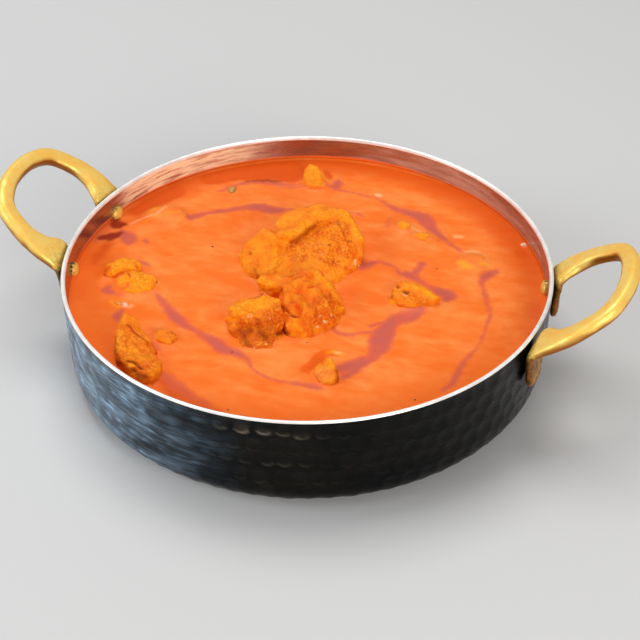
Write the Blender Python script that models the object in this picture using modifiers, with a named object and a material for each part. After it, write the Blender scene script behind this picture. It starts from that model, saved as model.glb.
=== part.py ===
"""Lamb rogan josh in a hammered serving pan with two brass handles.

Metres, +Z up.  The pan stands on z = 0 with its axis on the Z axis, and the
handles lie along X.  Sizes below are in millimetres and become metres through MM.
"""
import math

import bmesh
import bpy
from mathutils import Matrix, Vector, noise

MM = 0.001
GAP = 0.3                  # clearance between pieces that touch
SLIVER = 0.02              # edges shorter than this are left out after cutting

# Pan: a spun steel bowl with a flat base
PAN_RADIUS = 80.0          # outside, at the rim
PAN_HEIGHT = 36.0
PAN_TAPER = 0.6            # how much narrower the wall is above the corner
PAN_WALL = 1.4
PAN_CORNER = 9.0           # outside radius between wall and base
PAN_STEPS = 60

# Gravy: a pool that fills the pan to this level
GRAVY_LEVEL = 27.0
GRAVY_MENISCUS = 0.5       # how far the gravy climbs the wall
GRAVY_EDGE = 2.0           # width of the band that climbs

# Meat: blocks that stand in the gravy
MEAT_SINK = 3.0            # below the gravy's level, down to a flat bottom
MEAT_PLUMP = 0.8           # outward, to make up for the softened corners
MEAT_ROOT = 3.0            # length below the flat bottom that is cut away
MEAT_ROOT_SHARE = 0.9      # how much of its spread the side keeps at the root
MEAT_LIP = 1.4             # width of the rounded edge of the top
MEAT_CROWN = 0.6           # rise of the top's middle over its edge
MEAT_KNOB = 7.0            # size of the lumps
MEAT_ROUGH = 0.8           # depth of the lumps

# Handles: cast loops that rise away from the wall on two feet
FOOT_HALF_ANGLE = 13.4     # between the handle's axis and each foot, degrees
HANDLE_TILT = 36.7         # slope of the loop's plane, degrees
HANDLE_START = 72.1        # where the loop's plane meets the rivets' height
HANDLE_REACH = 38.5        # length of the loop measured in its plane
FOOT_BOTTOM = 18.0         # below the rim
FOOT_INSET = 1.4           # from the wall to the middle of the foot's band
FOOT_THICKNESS = 3.0
BAND_THICKNESS = 4.6
BAND_SIDES = 10
BAND_SQUARENESS = 0.7      # 1 is an ellipse, 0 is a rectangle
STATION_STEPS = 2          # rings between two stations of a handle
UPRIGHT = 60.0             # a face leaning more than this follows the wall

# Rivets: domed heads inside the wall
RIVET_DEPTH = 8.0          # below the rim
RIVET_HEAD_RADIUS = 2.9
RIVET_HEAD_HEIGHT = 1.9
RIVET_SHANK_RADIUS = 1.8
RIVET_BITE = 1.6           # how far the shank goes into the foot
RIVET_SIDES = 10
BORE_OVERRUN = 0.5         # past the wall's inner face

COLOURS = {
    "steel": ((0.16, 0.16, 0.17), 0.35, 1.0),
    "brass": ((0.83, 0.56, 0.16), 0.28, 1.0),
    "gravy": ((0.86, 0.20, 0.035), 0.25, 0.0),
    "lamb": ((0.80, 0.29, 0.045), 0.45, 0.0),
}


def clear_scene():
    for obj in list(bpy.data.objects):
        bpy.data.objects.remove(obj, do_unlink=True)


def make_collection(name):
    collection = bpy.data.collections.new(name)
    bpy.context.scene.collection.children.link(collection)
    return collection


def make_material(name):
    colour, roughness, metallic = COLOURS[name]
    material = bpy.data.materials.new(name)
    material.use_nodes = True
    shader = material.node_tree.nodes["Principled BSDF"]
    shader.inputs["Base Color"].default_value = (*colour, 1.0)
    shader.inputs["Roughness"].default_value = roughness
    shader.inputs["Metallic"].default_value = metallic
    return material


def add_object(name, mesh, collection, material=None):
    obj = bpy.data.objects.new(name, mesh)
    collection.objects.link(obj)
    if material:
        mesh.materials.clear()
        mesh.materials.append(material)
    return obj


def mesh_from(bm, name):
    """The mesh of a bmesh, in metres, with corners and faces in an order that only their places decide."""
    bmesh.ops.recalc_face_normals(bm, faces=bm.faces[:])
    verts = sorted(bm.verts, key=lambda vert: [round(value, 3) for value in vert.co])
    number = {vert: i for i, vert in enumerate(verts)}
    faces = []
    for face in bm.faces:
        loop = [number[vert] for vert in face.verts]
        first = loop.index(min(loop))
        faces.append(loop[first:] + loop[:first])
    mesh = bpy.data.meshes.new(name)
    mesh.from_pydata([vert.co * MM for vert in verts], [], sorted(faces))
    bm.free()
    mesh.shade_smooth()
    mesh.set_sharp_from_angle(angle=math.radians(40))
    return mesh


def add_cutter(name, mesh, cutters):
    cutter = add_object(name, mesh, cutters)
    cutter.hide_render = True
    cutter.display_type = "WIRE"
    return cutter


def add_boolean(obj, operand, operation="DIFFERENCE", solver="EXACT"):
    modifier = obj.modifiers.new(operation.lower(), "BOOLEAN")
    modifier.operation = operation
    modifier.solver = solver
    modifier.object = operand


def arc(centre_r, centre_z, radius, start, end, steps):
    """Points (r, z) on an arc between two angles in degrees."""
    points = []
    for i in range(steps + 1):
        angle = math.radians(start + (end - start) * i / steps)
        r = centre_r + radius * math.cos(angle)
        z = centre_z + radius * math.sin(angle)
        points.append((r, z))
    return points


def wall_radius(inset, z):
    """Radius at height z of the pan's outside moved inward by inset."""
    above_corner = (z - PAN_CORNER) / (PAN_HEIGHT - PAN_CORNER)
    return PAN_RADIUS - PAN_TAPER * (1 - above_corner) - inset


def bowl_line(inset, steps):
    """Half section from the axis along the base and round the corner, moved inward by inset."""
    centre_r = PAN_RADIUS - PAN_TAPER - PAN_CORNER
    corner = arc(centre_r, PAN_CORNER, PAN_CORNER - inset, -90, 0, steps)
    return [(0.0, inset)] + corner


def turned_mesh(name, profile, steps):
    """Closed solid of revolution about Z; the profile runs down its outer side."""
    mesh = bpy.data.meshes.new(name)
    verts = [(r * MM, 0.0, z * MM) for r, z in profile]
    edges = [(i, i + 1) for i in range(len(verts) - 1)]
    mesh.from_pydata(verts, edges, [])
    outline = bpy.data.objects.new(name, mesh)
    bpy.context.scene.collection.objects.link(outline)
    screw = outline.modifiers.new("turn", "SCREW")
    screw.axis = "Z"
    screw.steps = steps
    screw.render_steps = steps
    screw.use_merge_vertices = True
    screw.merge_threshold = 0.00001
    turned = apply_modifiers(outline)
    turned.name = name
    return turned


def apply_modifiers(obj):
    """The evaluated mesh of an object, which is removed."""
    depsgraph = bpy.context.evaluated_depsgraph_get()
    mesh = bpy.data.meshes.new_from_object(obj.evaluated_get(depsgraph))
    bpy.data.objects.remove(obj, do_unlink=True)
    return mesh


def pan_profile():
    lip = PAN_WALL / 2
    inside = bowl_line(PAN_WALL, 4)
    outside = bowl_line(0.0, 5)
    rim = arc(PAN_RADIUS - lip, PAN_HEIGHT - lip, lip, 180, 0, 4)
    return inside + rim + outside[::-1]


def gravy_profile():
    inset = PAN_WALL + GAP
    side = bowl_line(inset, 2)
    edge = wall_radius(inset, GRAVY_LEVEL)
    top = [(0.0, GRAVY_LEVEL), (edge / 2, GRAVY_LEVEL), (edge - GRAVY_EDGE, GRAVY_LEVEL)]
    meniscus = [(edge, GRAVY_LEVEL + GRAVY_MENISCUS)]
    return top + meniscus + side[::-1]


def rivet_mesh(name, shank_length):
    """Domed head standing on a shank, along Z, head upward, foot of the head at z = 0."""
    squash = RIVET_HEAD_HEIGHT / RIVET_HEAD_RADIUS
    dome = [(r, z * squash) for r, z in arc(0, 0, RIVET_HEAD_RADIUS, 90, 0, 3)]
    shank = [(RIVET_SHANK_RADIUS, 0.0), (RIVET_SHANK_RADIUS, -shank_length), (0.0, -shank_length)]
    dome[0] = (0.0, RIVET_HEAD_HEIGHT)
    return turned_mesh(name, dome + shank, RIVET_SIDES)


def loop_point(side, along):
    """A point of the loop's plane: out from the pan's axis, sideways, and up from the base."""
    tilt = math.radians(HANDLE_TILT)
    out = HANDLE_START + along * math.cos(tilt)
    up = PAN_HEIGHT - RIVET_DEPTH + along * math.sin(tilt)
    return out, side, up


def foot_point(radius, below_rim):
    angle = math.radians(FOOT_HALF_ANGLE)
    return radius * math.cos(angle), radius * math.sin(angle), PAN_HEIGHT - below_rim


def handle_stations():
    """Half of the handle, from the middle of the loop to the bottom of a foot.

    Each station is its place, the band's width and thickness, and how far the
    top face leans back towards the pan in degrees: 90 lies against the wall.
    """
    wall = PAN_RADIUS + FOOT_INSET
    tilt = HANDLE_TILT
    return [
        (*loop_point(-9.0, HANDLE_REACH - 1.1), 5.8, BAND_THICKNESS, tilt),
        (*loop_point(0.0, HANDLE_REACH), 5.8, BAND_THICKNESS, tilt),
        (*loop_point(9.0, HANDLE_REACH - 1.1), 5.8, BAND_THICKNESS, tilt),
        (*loop_point(16.7, HANDLE_REACH - 5.3), 6.0, BAND_THICKNESS - 0.1, tilt),
        (*loop_point(20.8, HANDLE_REACH - 14.0), 6.8, BAND_THICKNESS - 0.2, tilt),
        (*loop_point(21.2, HANDLE_REACH - 21.5), 9.2, BAND_THICKNESS - 0.5, tilt),
        (*foot_point(wall + 1.4, 1.8), 13.0, FOOT_THICKNESS + 0.5, tilt + 14),
        (*foot_point(wall + 0.3, 4.8), 13.2, FOOT_THICKNESS + 0.1, 74),
        (*foot_point(wall, 8.4), 11.6, FOOT_THICKNESS, 90),
        (*foot_point(wall, 12.0), 9.6, FOOT_THICKNESS, 90),
        (*foot_point(wall, FOOT_BOTTOM - 2.2), 7.6, FOOT_THICKNESS - 0.4, 90),
        (*foot_point(wall, FOOT_BOTTOM), 4.2, FOOT_THICKNESS - 1.4, 90),
    ]


def catmull_rom(a, b, c, d, t):
    """Value between b and c on the smooth curve through four stations."""
    values = []
    for p, q, r, s in zip(a, b, c, d):
        slope = (r - p) * t
        bend = (2 * p - 5 * q + 4 * r - s) * t ** 2
        twist = (3 * q - p - 3 * r + s) * t ** 3
        values.append((2 * q + slope + bend + twist) / 2)
    return tuple(values)


def smooth_stations(stations, per_span):
    """More stations on a smooth curve; the first one only steers the start."""
    last = tuple(2 * b - a for a, b in zip(stations[-2], stations[-1]))
    line = stations + [last]
    result = []
    for i in range(1, len(line) - 2):
        for step in range(per_span):
            result.append(catmull_rom(*line[i - 1:i + 3], step / per_span))
    result.append(stations[-1])
    return result


def squared(value):
    """A cosine or sine pushed outward, which makes an ellipse squarer."""
    return math.copysign(abs(value) ** BAND_SQUARENESS, value)


def band_ring(bm, station, tangent):
    """Ring of a rounded-rectangle section across the band."""
    centre = Vector(station[:3])
    width, thickness, lean = station[3:]
    azimuth = math.atan2(centre.y, centre.x) if lean > UPRIGHT else 0.0
    lean = math.radians(lean)
    inward = Vector((-math.cos(azimuth), -math.sin(azimuth), 0.0))
    face = inward * math.sin(lean) + Vector((0.0, 0.0, math.cos(lean)))
    across = face.cross(tangent).normalized()
    face = tangent.cross(across).normalized()
    verts = []
    for i in range(BAND_SIDES):
        angle = 2 * math.pi * (i + 0.5) / BAND_SIDES
        u = squared(math.cos(angle)) * width / 2
        v = squared(math.sin(angle)) * thickness / 2
        verts.append(bm.verts.new(centre + across * u + face * v))
    return [bm.edges.new((verts[i - 1], verts[i])) for i in range(BAND_SIDES)]


def handle_mesh(name, cutters):
    """One handle on the +X side: half a loft from the loop's middle to a foot, mirrored."""
    bm = bmesh.new()
    stations = smooth_stations(handle_stations(), STATION_STEPS)
    rings = []
    for i, station in enumerate(stations):
        before = Vector(stations[max(i - 1, 0)][:3])
        after = Vector(stations[min(i + 1, len(stations) - 1)][:3])
        tangent = Vector((0, 1, 0)) if i == 0 else (after - before).normalized()
        rings.append(band_ring(bm, station, tangent))
    for ring, following in zip(rings, rings[1:]):
        bmesh.ops.bridge_loops(bm, edges=ring + following)
    bmesh.ops.contextual_create(bm, geom=rings[-1])
    for edge in rings[0]:
        for vert in edge.verts:
            vert.co.y = 0.0
    half = add_object(name, mesh_from(bm, name), cutters)
    mirror = half.modifiers.new("other arm", "MIRROR")
    mirror.use_axis = (False, True, False)
    mirror.merge_threshold = 0.00001
    return apply_modifiers(half)


def outward(corners, i):
    """Direction out of the outline at corner i, seen from above."""
    before = Vector(corners[i - 1][:2])
    after = Vector(corners[(i + 1) % len(corners)][:2])
    along = (after - before).normalized()
    return Vector((along.y, -along.x, 0.0))


def ring_edges(bm, ring):
    return [bm.edges.get((ring[i - 1], ring[i])) for i in range(len(ring))]


def chunk_mesh(name, chunk, grow=0.0):
    """One soft block of meat from the corners of its top, grown outward by grow.

    Each corner is its place, its rise over the gravy and how far the side
    spreads below it.  The block is closed flat at its sink below the gravy.
    """
    corners = chunk["corners"]
    bottom = GRAVY_LEVEL - chunk.get("sink", MEAT_SINK)
    bm = bmesh.new()
    rim = []
    for i, (x, y, rise, spread) in enumerate(corners):
        place = Vector((x, y, GRAVY_LEVEL + rise)) + outward(corners, i) * MEAT_PLUMP
        rim.append(bm.verts.new(place))
    top = bm.faces.new(rim)
    ring = rim
    for share, height in ((1.0, 0.0), (MEAT_ROOT_SHARE, -MEAT_ROOT)):
        extruded = bmesh.ops.extrude_edge_only(bm, edges=ring_edges(bm, ring))["geom"]
        lower = [v for v in extruded if isinstance(v, bmesh.types.BMVert)]
        lower = [min(lower, key=lambda v: (v.co - up.co).length) for up in ring]
        for i, vert in enumerate(lower):
            side = outward(corners, i) * (MEAT_PLUMP + corners[i][3]) * share
            vert.co = Vector((*corners[i][:2], bottom + height)) + side
        ring = lower
    bmesh.ops.contextual_create(bm, geom=ring_edges(bm, ring))
    bmesh.ops.inset_region(
        bm, faces=[top], thickness=chunk.get("lip", MEAT_LIP), depth=chunk.get("crown", MEAT_CROWN))
    block = add_object(name, mesh_from(bm, name), bpy.context.scene.collection)
    soften = block.modifiers.new("soften", "SUBSURF")
    soften.levels = soften.render_levels = chunk.get("levels", 1)
    bm = bmesh.new()
    bm.from_mesh(apply_modifiers(block))
    bm.normal_update()
    rough = chunk.get("rough", MEAT_ROUGH)
    moves = [noise.noise(v.co / MM / MEAT_KNOB) * rough + grow for v in bm.verts]
    for vert, move in zip(bm.verts[:], moves):
        vert.co += vert.normal * move * MM
    cut = bmesh.ops.bisect_plane(
        bm, geom=bm.verts[:] + bm.edges[:] + bm.faces[:], dist=0.00001,
        plane_co=(0, 0, (bottom - grow) * MM), plane_no=(0, 0, 1), clear_inner=True)
    edges = [e for e in cut["geom_cut"] if isinstance(e, bmesh.types.BMEdge)]
    bmesh.ops.contextual_create(bm, geom=edges)
    bmesh.ops.scale(bm, vec=(1 / MM, 1 / MM, 1 / MM), verts=bm.verts[:])
    return mesh_from(bm, name)


def piece_mesh(name, chunks, cutters, grow=0.0):
    """The chunks of one piece of meat fused into one solid."""
    first, *others = [chunk_mesh(name, chunk, grow) for chunk in chunks]
    if not others:
        return first
    base = add_object(name, first, cutters)
    extras = [add_object(f"{name}_chunk", mesh, cutters) for mesh in others]
    for extra in extras:
        add_boolean(base, extra, "UNION")
    fused = largest_island(apply_modifiers(base))
    for extra in extras:
        bpy.data.objects.remove(extra, do_unlink=True)
    return fused


# Chunks of each piece of meat.  Corners run anticlockwise seen from above: x, y, rise
# over the gravy, spread of the side.
PIECES = {
    "lamb_back": [
        dict(levels=2, lip=3.0, crown=-0.5, corners=[
            (-8, -7, 2.5, 1), (6, -4, 3, 1), (11.5, 8, 2.5, 1.5), (14.5, 15, 5, 1), (9.5, 23.5, 8.5, 1.5),
            (4, 28.5, 10.5, 2), (-5, 27.5, 10.5, 2), (-14, 23.5, 9, 2), (-17, 12, 7, 1)]),
        dict(levels=2, sink=2.5, corners=[
            (-21, -1.5, 2, 1.5), (-14, -5, 2, 1.5), (-8, 0, 3, 0), (-9, 12, 6.5, 0), (-17, 14.5, 8, 1),
            (-22, 12.5, 7, 1.5), (-26, 6, 4.5, 1.5)]),
        dict(levels=2, sink=-6.0, corners=[
            (-10, 9, 8, 0), (-6.5, 14, 9.5, 0), (-3, 21, 11, 0), (4.5, 25.5, 11.2, 0), (4.5, 29.5, 11.5, 1),
            (-5, 28, 12, 1), (-14, 24, 11, 1), (-18, 16, 9, 0.5)]),
        dict(levels=1, sink=-2.3, lip=0.8, corners=[
            (12, 11.5, 4.5, 0), (15.5, 13.5, 6, 0.3), (10.5, 24, 10, 0.5), (4.5, 29.5, 12, 0.5),
            (3, 26.5, 11, 0), (8, 21, 8.7, 0)]),
    ],
    "lamb_front_right": [
        dict(levels=2, corners=[
            (3, -28, 6, 6), (8.5, -26, 6, 6.5), (13, -20.5, 5.5, 4), (15.5, -14.5, 5, 2.5),
            (12.5, -9.5, 7.5, 1.5), (7.5, -5, 8.5, 1.5), (2.5, -4.5, 9, 1.5), (-4, -10.5, 8, 1),
            (-3.5, -19, 7, 1)]),
        dict(levels=1, sink=-1.5, lip=0.8, corners=[
            (-12, -13, 4.5, 0), (-5, -15, 6.5, 0), (-1, -10, 9, 0), (-7, -9, 7.5, 0),
            (-14.5, -11, 5.5, 0)]),
    ],
    "lamb_front_left": [
        dict(levels=2, corners=[
            (-9, -32.5, 7.5, 7.5), (-3.5, -31.5, 6.5, 8.5), (-0.5, -27.5, 5.5, 3), (-1.5, -22.5, 7, 1),
            (-6, -20, 8, 1.5), (-12.5, -22.5, 8, 1.5), (-17.5, -26, 6.5, 2), (-15.5, -30, 6, 3)]),
    ],
    "lamb_near_rim": [
        dict(levels=2, rough=1.2, corners=[
            (-35.5, -64, 4.5, 0.5), (-30, -65, 3, 0.5), (-28, -60.5, 2, 1), (-31, -54, 2.5, 1),
            (-37.5, -46, 3.5, 1), (-43.5, -41.5, 4.5, 0.5), (-48, -41, 5.2, 0.5), (-47, -49, 5.5, 1),
            (-42, -58.5, 5.5, 0.5)]),
    ],
    "lamb_left": [
        dict(corners=[
            (-66, -19.5, 1.5, 0.5), (-62, -17.5, 2, 0.5), (-58, -13, 2.4, 0), (-54, -12, 2.2, 0),
            (-56.5, -8.5, 2.8, 0.5), (-62, -8, 3, 0.5), (-66, -12, 3, 0.5)]),
        dict(sink=2.5, corners=[
            (-60, -22.5, 1.2, 0.5), (-50, -24, 1.2, 0.5), (-45.5, -19.5, 1.4, 0.5), (-47, -15.5, 2, 0.5),
            (-53.5, -12, 2.3, 0), (-60.5, -16, 2, 0)]),
    ],
    "lamb_small": [
        dict(corners=[
            (-36.5, -45, 1.2, 0.3), (-28.5, -46, 1.2, 0.3), (-30, -40, 2.2, 0.3), (-34, -39.5, 2.2, 0.3),
            (-38, -41.5, 1.5, 0.3)]),
    ],
    "lamb_right": [
        dict(corners=[
            (28.5, -5, 1.5, 0.5), (37, -4.5, 1.8, 0.5), (44, -1.5, 1.8, 0.5), (44, 1, 3, 0.5),
            (38, 4, 4.6, 0.5), (32, 5, 4.8, 0.5), (27.5, 0.5, 3.2, 0.5)]),
    ],
    "lamb_far_tip": [
        dict(corners=[
            (-19, 54, 1.2, 0.5), (-13, 54, 1.2, 0.5), (-8.5, 57, 1.2, 0.5), (-14.5, 62, 4, 0.5),
            (-20, 66, 4.8, 0.5), (-21, 60, 2.6, 0.5)]),
    ],
    "lamb_front_flake": [
        dict(corners=[
            (18, -46, 1.5, 0.3), (20, -49.5, 1.2, 0.3), (25, -48, 1.6, 0.3), (22, -41, 3.2, 0.3),
            (18, -38.5, 4, 0.3), (15, -44.5, 1.4, 0.3)]),
    ],
    "lamb_nub": [
        dict(lip=0.8, corners=[
            (21, 38, 1.4, 0.3), (24.2, 38, 1.4, 0.3), (25, 40.5, 1.6, 0.3), (22.6, 42.5, 1.6, 0.3),
            (20.2, 40.5, 1.6, 0.3)]),
    ],
    "lamb_back_flake": [
        dict(lip=0.8, corners=[
            (24.5, 35.5, 1, 0.2), (30, 32.5, 1.3, 0.2), (36.5, 32.5, 1.3, 0.2), (36.5, 35.5, 1.8, 0.2),
            (30.5, 37, 2, 0.2)]),
    ],
    "lamb_sunk_right": [
        dict(corners=[
            (52, 14, 0.8, 0.5), (57, 19.5, 0.9, 0.5), (56, 28, 1.2, 0.5), (50, 32.5, 1.6, 0.5),
            (44.5, 30, 1.6, 0.5), (44.5, 19, 1.1, 0.5)]),
    ],
    "lamb_sunk_left": [
        dict(corners=[
            (-62, 12.5, 1, 0.5), (-51, 17.5, 0.9, 0.5), (-52, 27.5, 1.1, 0.5), (-61, 29, 1.6, 0.5),
            (-67, 23.5, 1.6, 0.5), (-67, 15, 1.2, 0.5)]),
    ],
}

# A piece listed here is trimmed back from the neighbour that it leans on.
TRIMS = {
    "lamb_back": "lamb_front_right",
    "lamb_front_left": "lamb_front_right",
}

# Small bits that lie on the gravy and are fused to it: place, half width and rise
BITS = {
    "onion_bit": ((-53, -30), 2.2, 0.9),
    "herb_bit": ((-43, 46), 2.4, 0.8),
    "fat_dot_far": ((8.5, 58), 1.6, 0.6),
    "fat_dot_right": ((64.5, 42), 1.4, 0.6),
}
BIT_SHAPE = 0.8            # a bit's length along Y as a share of its length along X


def build_pan(dish, steel):
    return add_object("pan", turned_mesh("pan", pan_profile(), PAN_STEPS), dish, steel)


def wall_cutter(cutters):
    """The outside of the pan with its clearance, to trim the handles' feet."""
    side = bowl_line(-GAP, 5)
    top = [(0.0, PAN_HEIGHT), (PAN_RADIUS + GAP, PAN_HEIGHT)]
    return add_cutter("wall_cutter", turned_mesh("wall_cutter", top + side[::-1], PAN_STEPS), cutters)


def build_handles(dish, cutters, brass):
    trim = wall_cutter(cutters)
    mesh = handle_mesh("handle", cutters)
    handles = []
    for name, turn in (("handle_right", 0.0), ("handle_left", math.pi)):
        handle = add_object(name, mesh.copy(), dish, brass)
        handle.rotation_euler.z = turn
        add_boolean(handle, trim)
        handles.append(handle)
    bpy.data.meshes.remove(mesh)
    return handles


def build_rivets(dish, cutters, brass, pan, handles):
    """Four rivets through the wall; each one bores the wall and its handle's foot."""
    height = PAN_HEIGHT - RIVET_DEPTH
    head_seat = wall_radius(PAN_WALL, height) - GAP
    shank = PAN_WALL + 2 * GAP + RIVET_BITE
    mesh = rivet_mesh("rivet", shank)
    number = 0
    for handle, axis in zip(handles, (0.0, 180.0)):
        for side in (-1, 1):
            number += 1
            angle = math.radians(axis + side * FOOT_HALF_ANGLE)
            toward_axis = Vector((-math.cos(angle), -math.sin(angle), 0))
            pose = toward_axis.to_track_quat("Z", "X").to_matrix().to_4x4()
            pose.translation = -toward_axis * head_seat * MM + Vector((0, 0, height * MM))
            rivet = add_object(f"rivet_{number}", mesh.copy(), dish, brass)
            rivet.matrix_world = pose
            bore = bore_cutter(f"bore_{number}", shank + GAP, pose, cutters)
            add_boolean(pan, bore)
            add_boolean(handle, bore)
    bpy.data.meshes.remove(mesh)


def bore_cutter(name, length, pose, cutters):
    bm = bmesh.new()
    radius = RIVET_SHANK_RADIUS + GAP
    middle = Matrix.Translation((0, 0, (BORE_OVERRUN - length) / 2))
    bmesh.ops.create_cone(
        bm, cap_ends=True, segments=RIVET_SIDES, radius1=radius, radius2=radius,
        depth=length + BORE_OVERRUN, matrix=middle)
    cutter = add_cutter(name, mesh_from(bm, name), cutters)
    cutter.matrix_world = pose
    return cutter


def ball_mesh(name, half_sizes, place):
    bm = bmesh.new()
    bmesh.ops.create_uvsphere(bm, u_segments=10, v_segments=6, radius=1.0)
    bmesh.ops.scale(bm, vec=half_sizes, verts=bm.verts[:])
    bmesh.ops.translate(bm, vec=place, verts=bm.verts[:])
    return mesh_from(bm, name)


def build_food(dish, cutters, materials):
    """Gravy with pockets for the meat and the rivets' heads, and the pieces of meat in them."""
    gravy = add_object("gravy", turned_mesh("gravy", gravy_profile(), PAN_STEPS), dish, materials["gravy"])
    gravy.data.shade_flat()
    for name, ((x, y), half, rise) in BITS.items():
        ball = ball_mesh(name, (half, half * BIT_SHAPE, rise), (x, y, GRAVY_LEVEL))
        add_boolean(gravy, add_cutter(name, ball, cutters), "UNION", "MANIFOLD")
    for name, chunks in PIECES.items():
        piece = add_object(name, piece_mesh(name, chunks, cutters), dish, materials["lamb"])
        pocket = piece_mesh(f"{name}_pocket", chunks, cutters, GAP)
        cutter = add_cutter(f"{name}_pocket", pocket, cutters)
        add_boolean(gravy, cutter, solver="MANIFOLD")
    for name, neighbour in TRIMS.items():
        add_boolean(bpy.data.objects[name], bpy.data.objects[f"{neighbour}_pocket"])
        settle(name, dish)
    return gravy


def settle(name, dish):
    """Apply an object's cuts and drop their scraps."""
    obj = bpy.data.objects[name]
    mesh = largest_island(apply_modifiers(obj))
    add_object(name, mesh, dish)


def head_pocket(number, pose, cutters):
    """Room in the gravy for one rivet's head."""
    wide = RIVET_HEAD_RADIUS + GAP
    deep = RIVET_HEAD_HEIGHT + GAP
    name = f"head_pocket_{number}"
    cutter = add_cutter(name, ball_mesh(name, (wide, wide, deep), (0, 0, 0)), cutters)
    cutter.matrix_world = pose
    return cutter


def largest_island(mesh):
    """The mesh without the slivers and loose scraps that cutting leaves."""
    bm = bmesh.new()
    bm.from_mesh(mesh)
    bmesh.ops.dissolve_degenerate(bm, dist=SLIVER * MM, edges=bm.edges[:])
    left = set(bm.verts)
    islands = []
    while left:
        reached = [left.pop()]
        for vert in reached:
            for edge in vert.link_edges:
                other = edge.other_vert(vert)
                if other in left:
                    left.remove(other)
                    reached.append(other)
        islands.append(reached)
    islands.sort(key=len)
    scraps = [vert for island in islands[:-1] for vert in island]
    bmesh.ops.delete(bm, geom=scraps, context="VERTS")
    bm.to_mesh(mesh)
    bm.free()
    return mesh


def main():
    clear_scene()
    dish = make_collection("lamb_rogan_josh")
    cutters = make_collection("cutters")
    materials = {name: make_material(name) for name in COLOURS}
    pan = build_pan(dish, materials["steel"])
    handles = build_handles(dish, cutters, materials["brass"])
    build_rivets(dish, cutters, materials["brass"], pan, handles)
    gravy = build_food(dish, cutters, materials)
    rivets = [obj for obj in dish.objects if obj.name.startswith("rivet_")]
    for number, rivet in enumerate(rivets, 1):
        add_boolean(gravy, head_pocket(number, rivet.matrix_world.copy(), cutters), solver="MANIFOLD")
    settle("gravy", dish)


main()
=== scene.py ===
import math

import bmesh
import bpy
import numpy as np
from mathutils import Matrix, Vector, noise
from mathutils.bvhtree import BVHTree


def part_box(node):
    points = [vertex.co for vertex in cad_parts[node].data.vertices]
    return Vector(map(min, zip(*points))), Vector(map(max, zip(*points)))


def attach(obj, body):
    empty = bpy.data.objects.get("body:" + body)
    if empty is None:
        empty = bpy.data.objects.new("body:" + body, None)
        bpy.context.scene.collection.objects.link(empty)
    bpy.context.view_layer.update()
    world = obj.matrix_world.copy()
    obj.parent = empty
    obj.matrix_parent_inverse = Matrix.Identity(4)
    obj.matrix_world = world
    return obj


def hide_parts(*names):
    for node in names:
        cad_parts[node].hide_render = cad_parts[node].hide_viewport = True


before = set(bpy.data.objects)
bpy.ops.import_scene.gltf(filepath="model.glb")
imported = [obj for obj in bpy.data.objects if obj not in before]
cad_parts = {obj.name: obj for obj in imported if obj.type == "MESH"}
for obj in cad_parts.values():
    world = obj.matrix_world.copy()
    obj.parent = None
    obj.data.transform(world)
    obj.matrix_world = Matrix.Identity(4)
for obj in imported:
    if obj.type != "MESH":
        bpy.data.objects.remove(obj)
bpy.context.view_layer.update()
mm = 0.001  # all sizes below are in millimetres

pan = {
    "radius": 80.0,  # outside, at the rim
    "height": 36.0,
    "taper": 0.6,  # how much narrower the wall is above its corner
    "wall": 1.4,
    "corner": 9.0,
    "steps": 640,  # round the pan
    "rowGap": 0.55,  # between two rings of the outside
    "dimpleWide": 6.2,
    "dimpleTall": 6.1,
    "dimpleDeep": 0.26,
    "dimpleBowl": 3.2,  # how soon a dimple rises again
    "dimpleStray": 0.16,  # as a share of a dimple
    "plainBand": 0.4,  # under the rim
}
gravyLevel = 27.0
view = {"spot": (113.9, -358.0, 301.0), "aim": (10.0, -18.7, 27.0), "lens": 79.0}


def makeObject(name, mesh, material, slot, *replaced):
    for part in material if isinstance(material, list) else [material]:
        mesh.materials.append(part)
    mesh.shade_smooth()
    piece = bpy.data.objects.new(name, mesh)
    bpy.context.scene.collection.objects.link(piece)
    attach(piece, "root")
    if replaced:
        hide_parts(*replaced)
    return piece


def meshFrom(bm, name):
    bmesh.ops.remove_doubles(bm, verts=bm.verts, dist=0.002 * mm)
    bmesh.ops.recalc_face_normals(bm, faces=bm.faces)
    mesh = bpy.data.meshes.new(name)
    bm.to_mesh(mesh)
    bm.free()
    return mesh


def spunMesh(name, profile, steps):
    bm = bmesh.new()
    verts = [bm.verts.new((r * mm, 0, z * mm)) for r, z in profile]
    edges = [bm.edges.new(pair) for pair in zip(verts, verts[1:])]
    fullTurn = {"angle": 2 * math.pi, "axis": (0, 0, 1), "cent": (0, 0, 0), "use_merge": True}
    bmesh.ops.spin(bm, geom=verts + edges, steps=steps, **fullTurn)
    return meshFrom(bm, name)


def spotsOf(mesh):
    values = np.empty(len(mesh.vertices) * 3, np.float32)
    mesh.vertices.foreach_get("co", values)
    return values.reshape(-1, 3).astype(float) / mm


def normalsOf(mesh):
    values = np.empty(len(mesh.vertices) * 3, np.float32)
    mesh.vertex_normals.foreach_get("vector", values)
    return values.reshape(-1, 3).astype(float)


def moveTo(mesh, spots):
    mesh.vertices.foreach_set("co", (spots * mm).astype(np.float32).ravel())
    mesh.update()


def paint(mesh, name, values):
    layer = mesh.attributes.new(name, "FLOAT", "POINT")
    layer.data.foreach_set("value", np.asarray(values, np.float32))


def lumps(spots, size, seed=0.0):
    shift = Vector((seed * 17.3, seed * 5.1, seed * 9.7))
    size = np.array(size, float) if np.ndim(size) else float(size)
    return np.array([noise.noise(Vector(spot) + shift) for spot in spots / size])


def ease(values, low, high):
    t = np.clip((values - low) / (high - low), 0, 1)
    return t * t * (3 - 2 * t)


def within(values, start, full, fade, end):
    return ease(values, start, full) * (1 - ease(values, fade, end))


def bell(values, middle, wide):
    return np.exp(-(((values - middle) / wide) ** 2))


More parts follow.
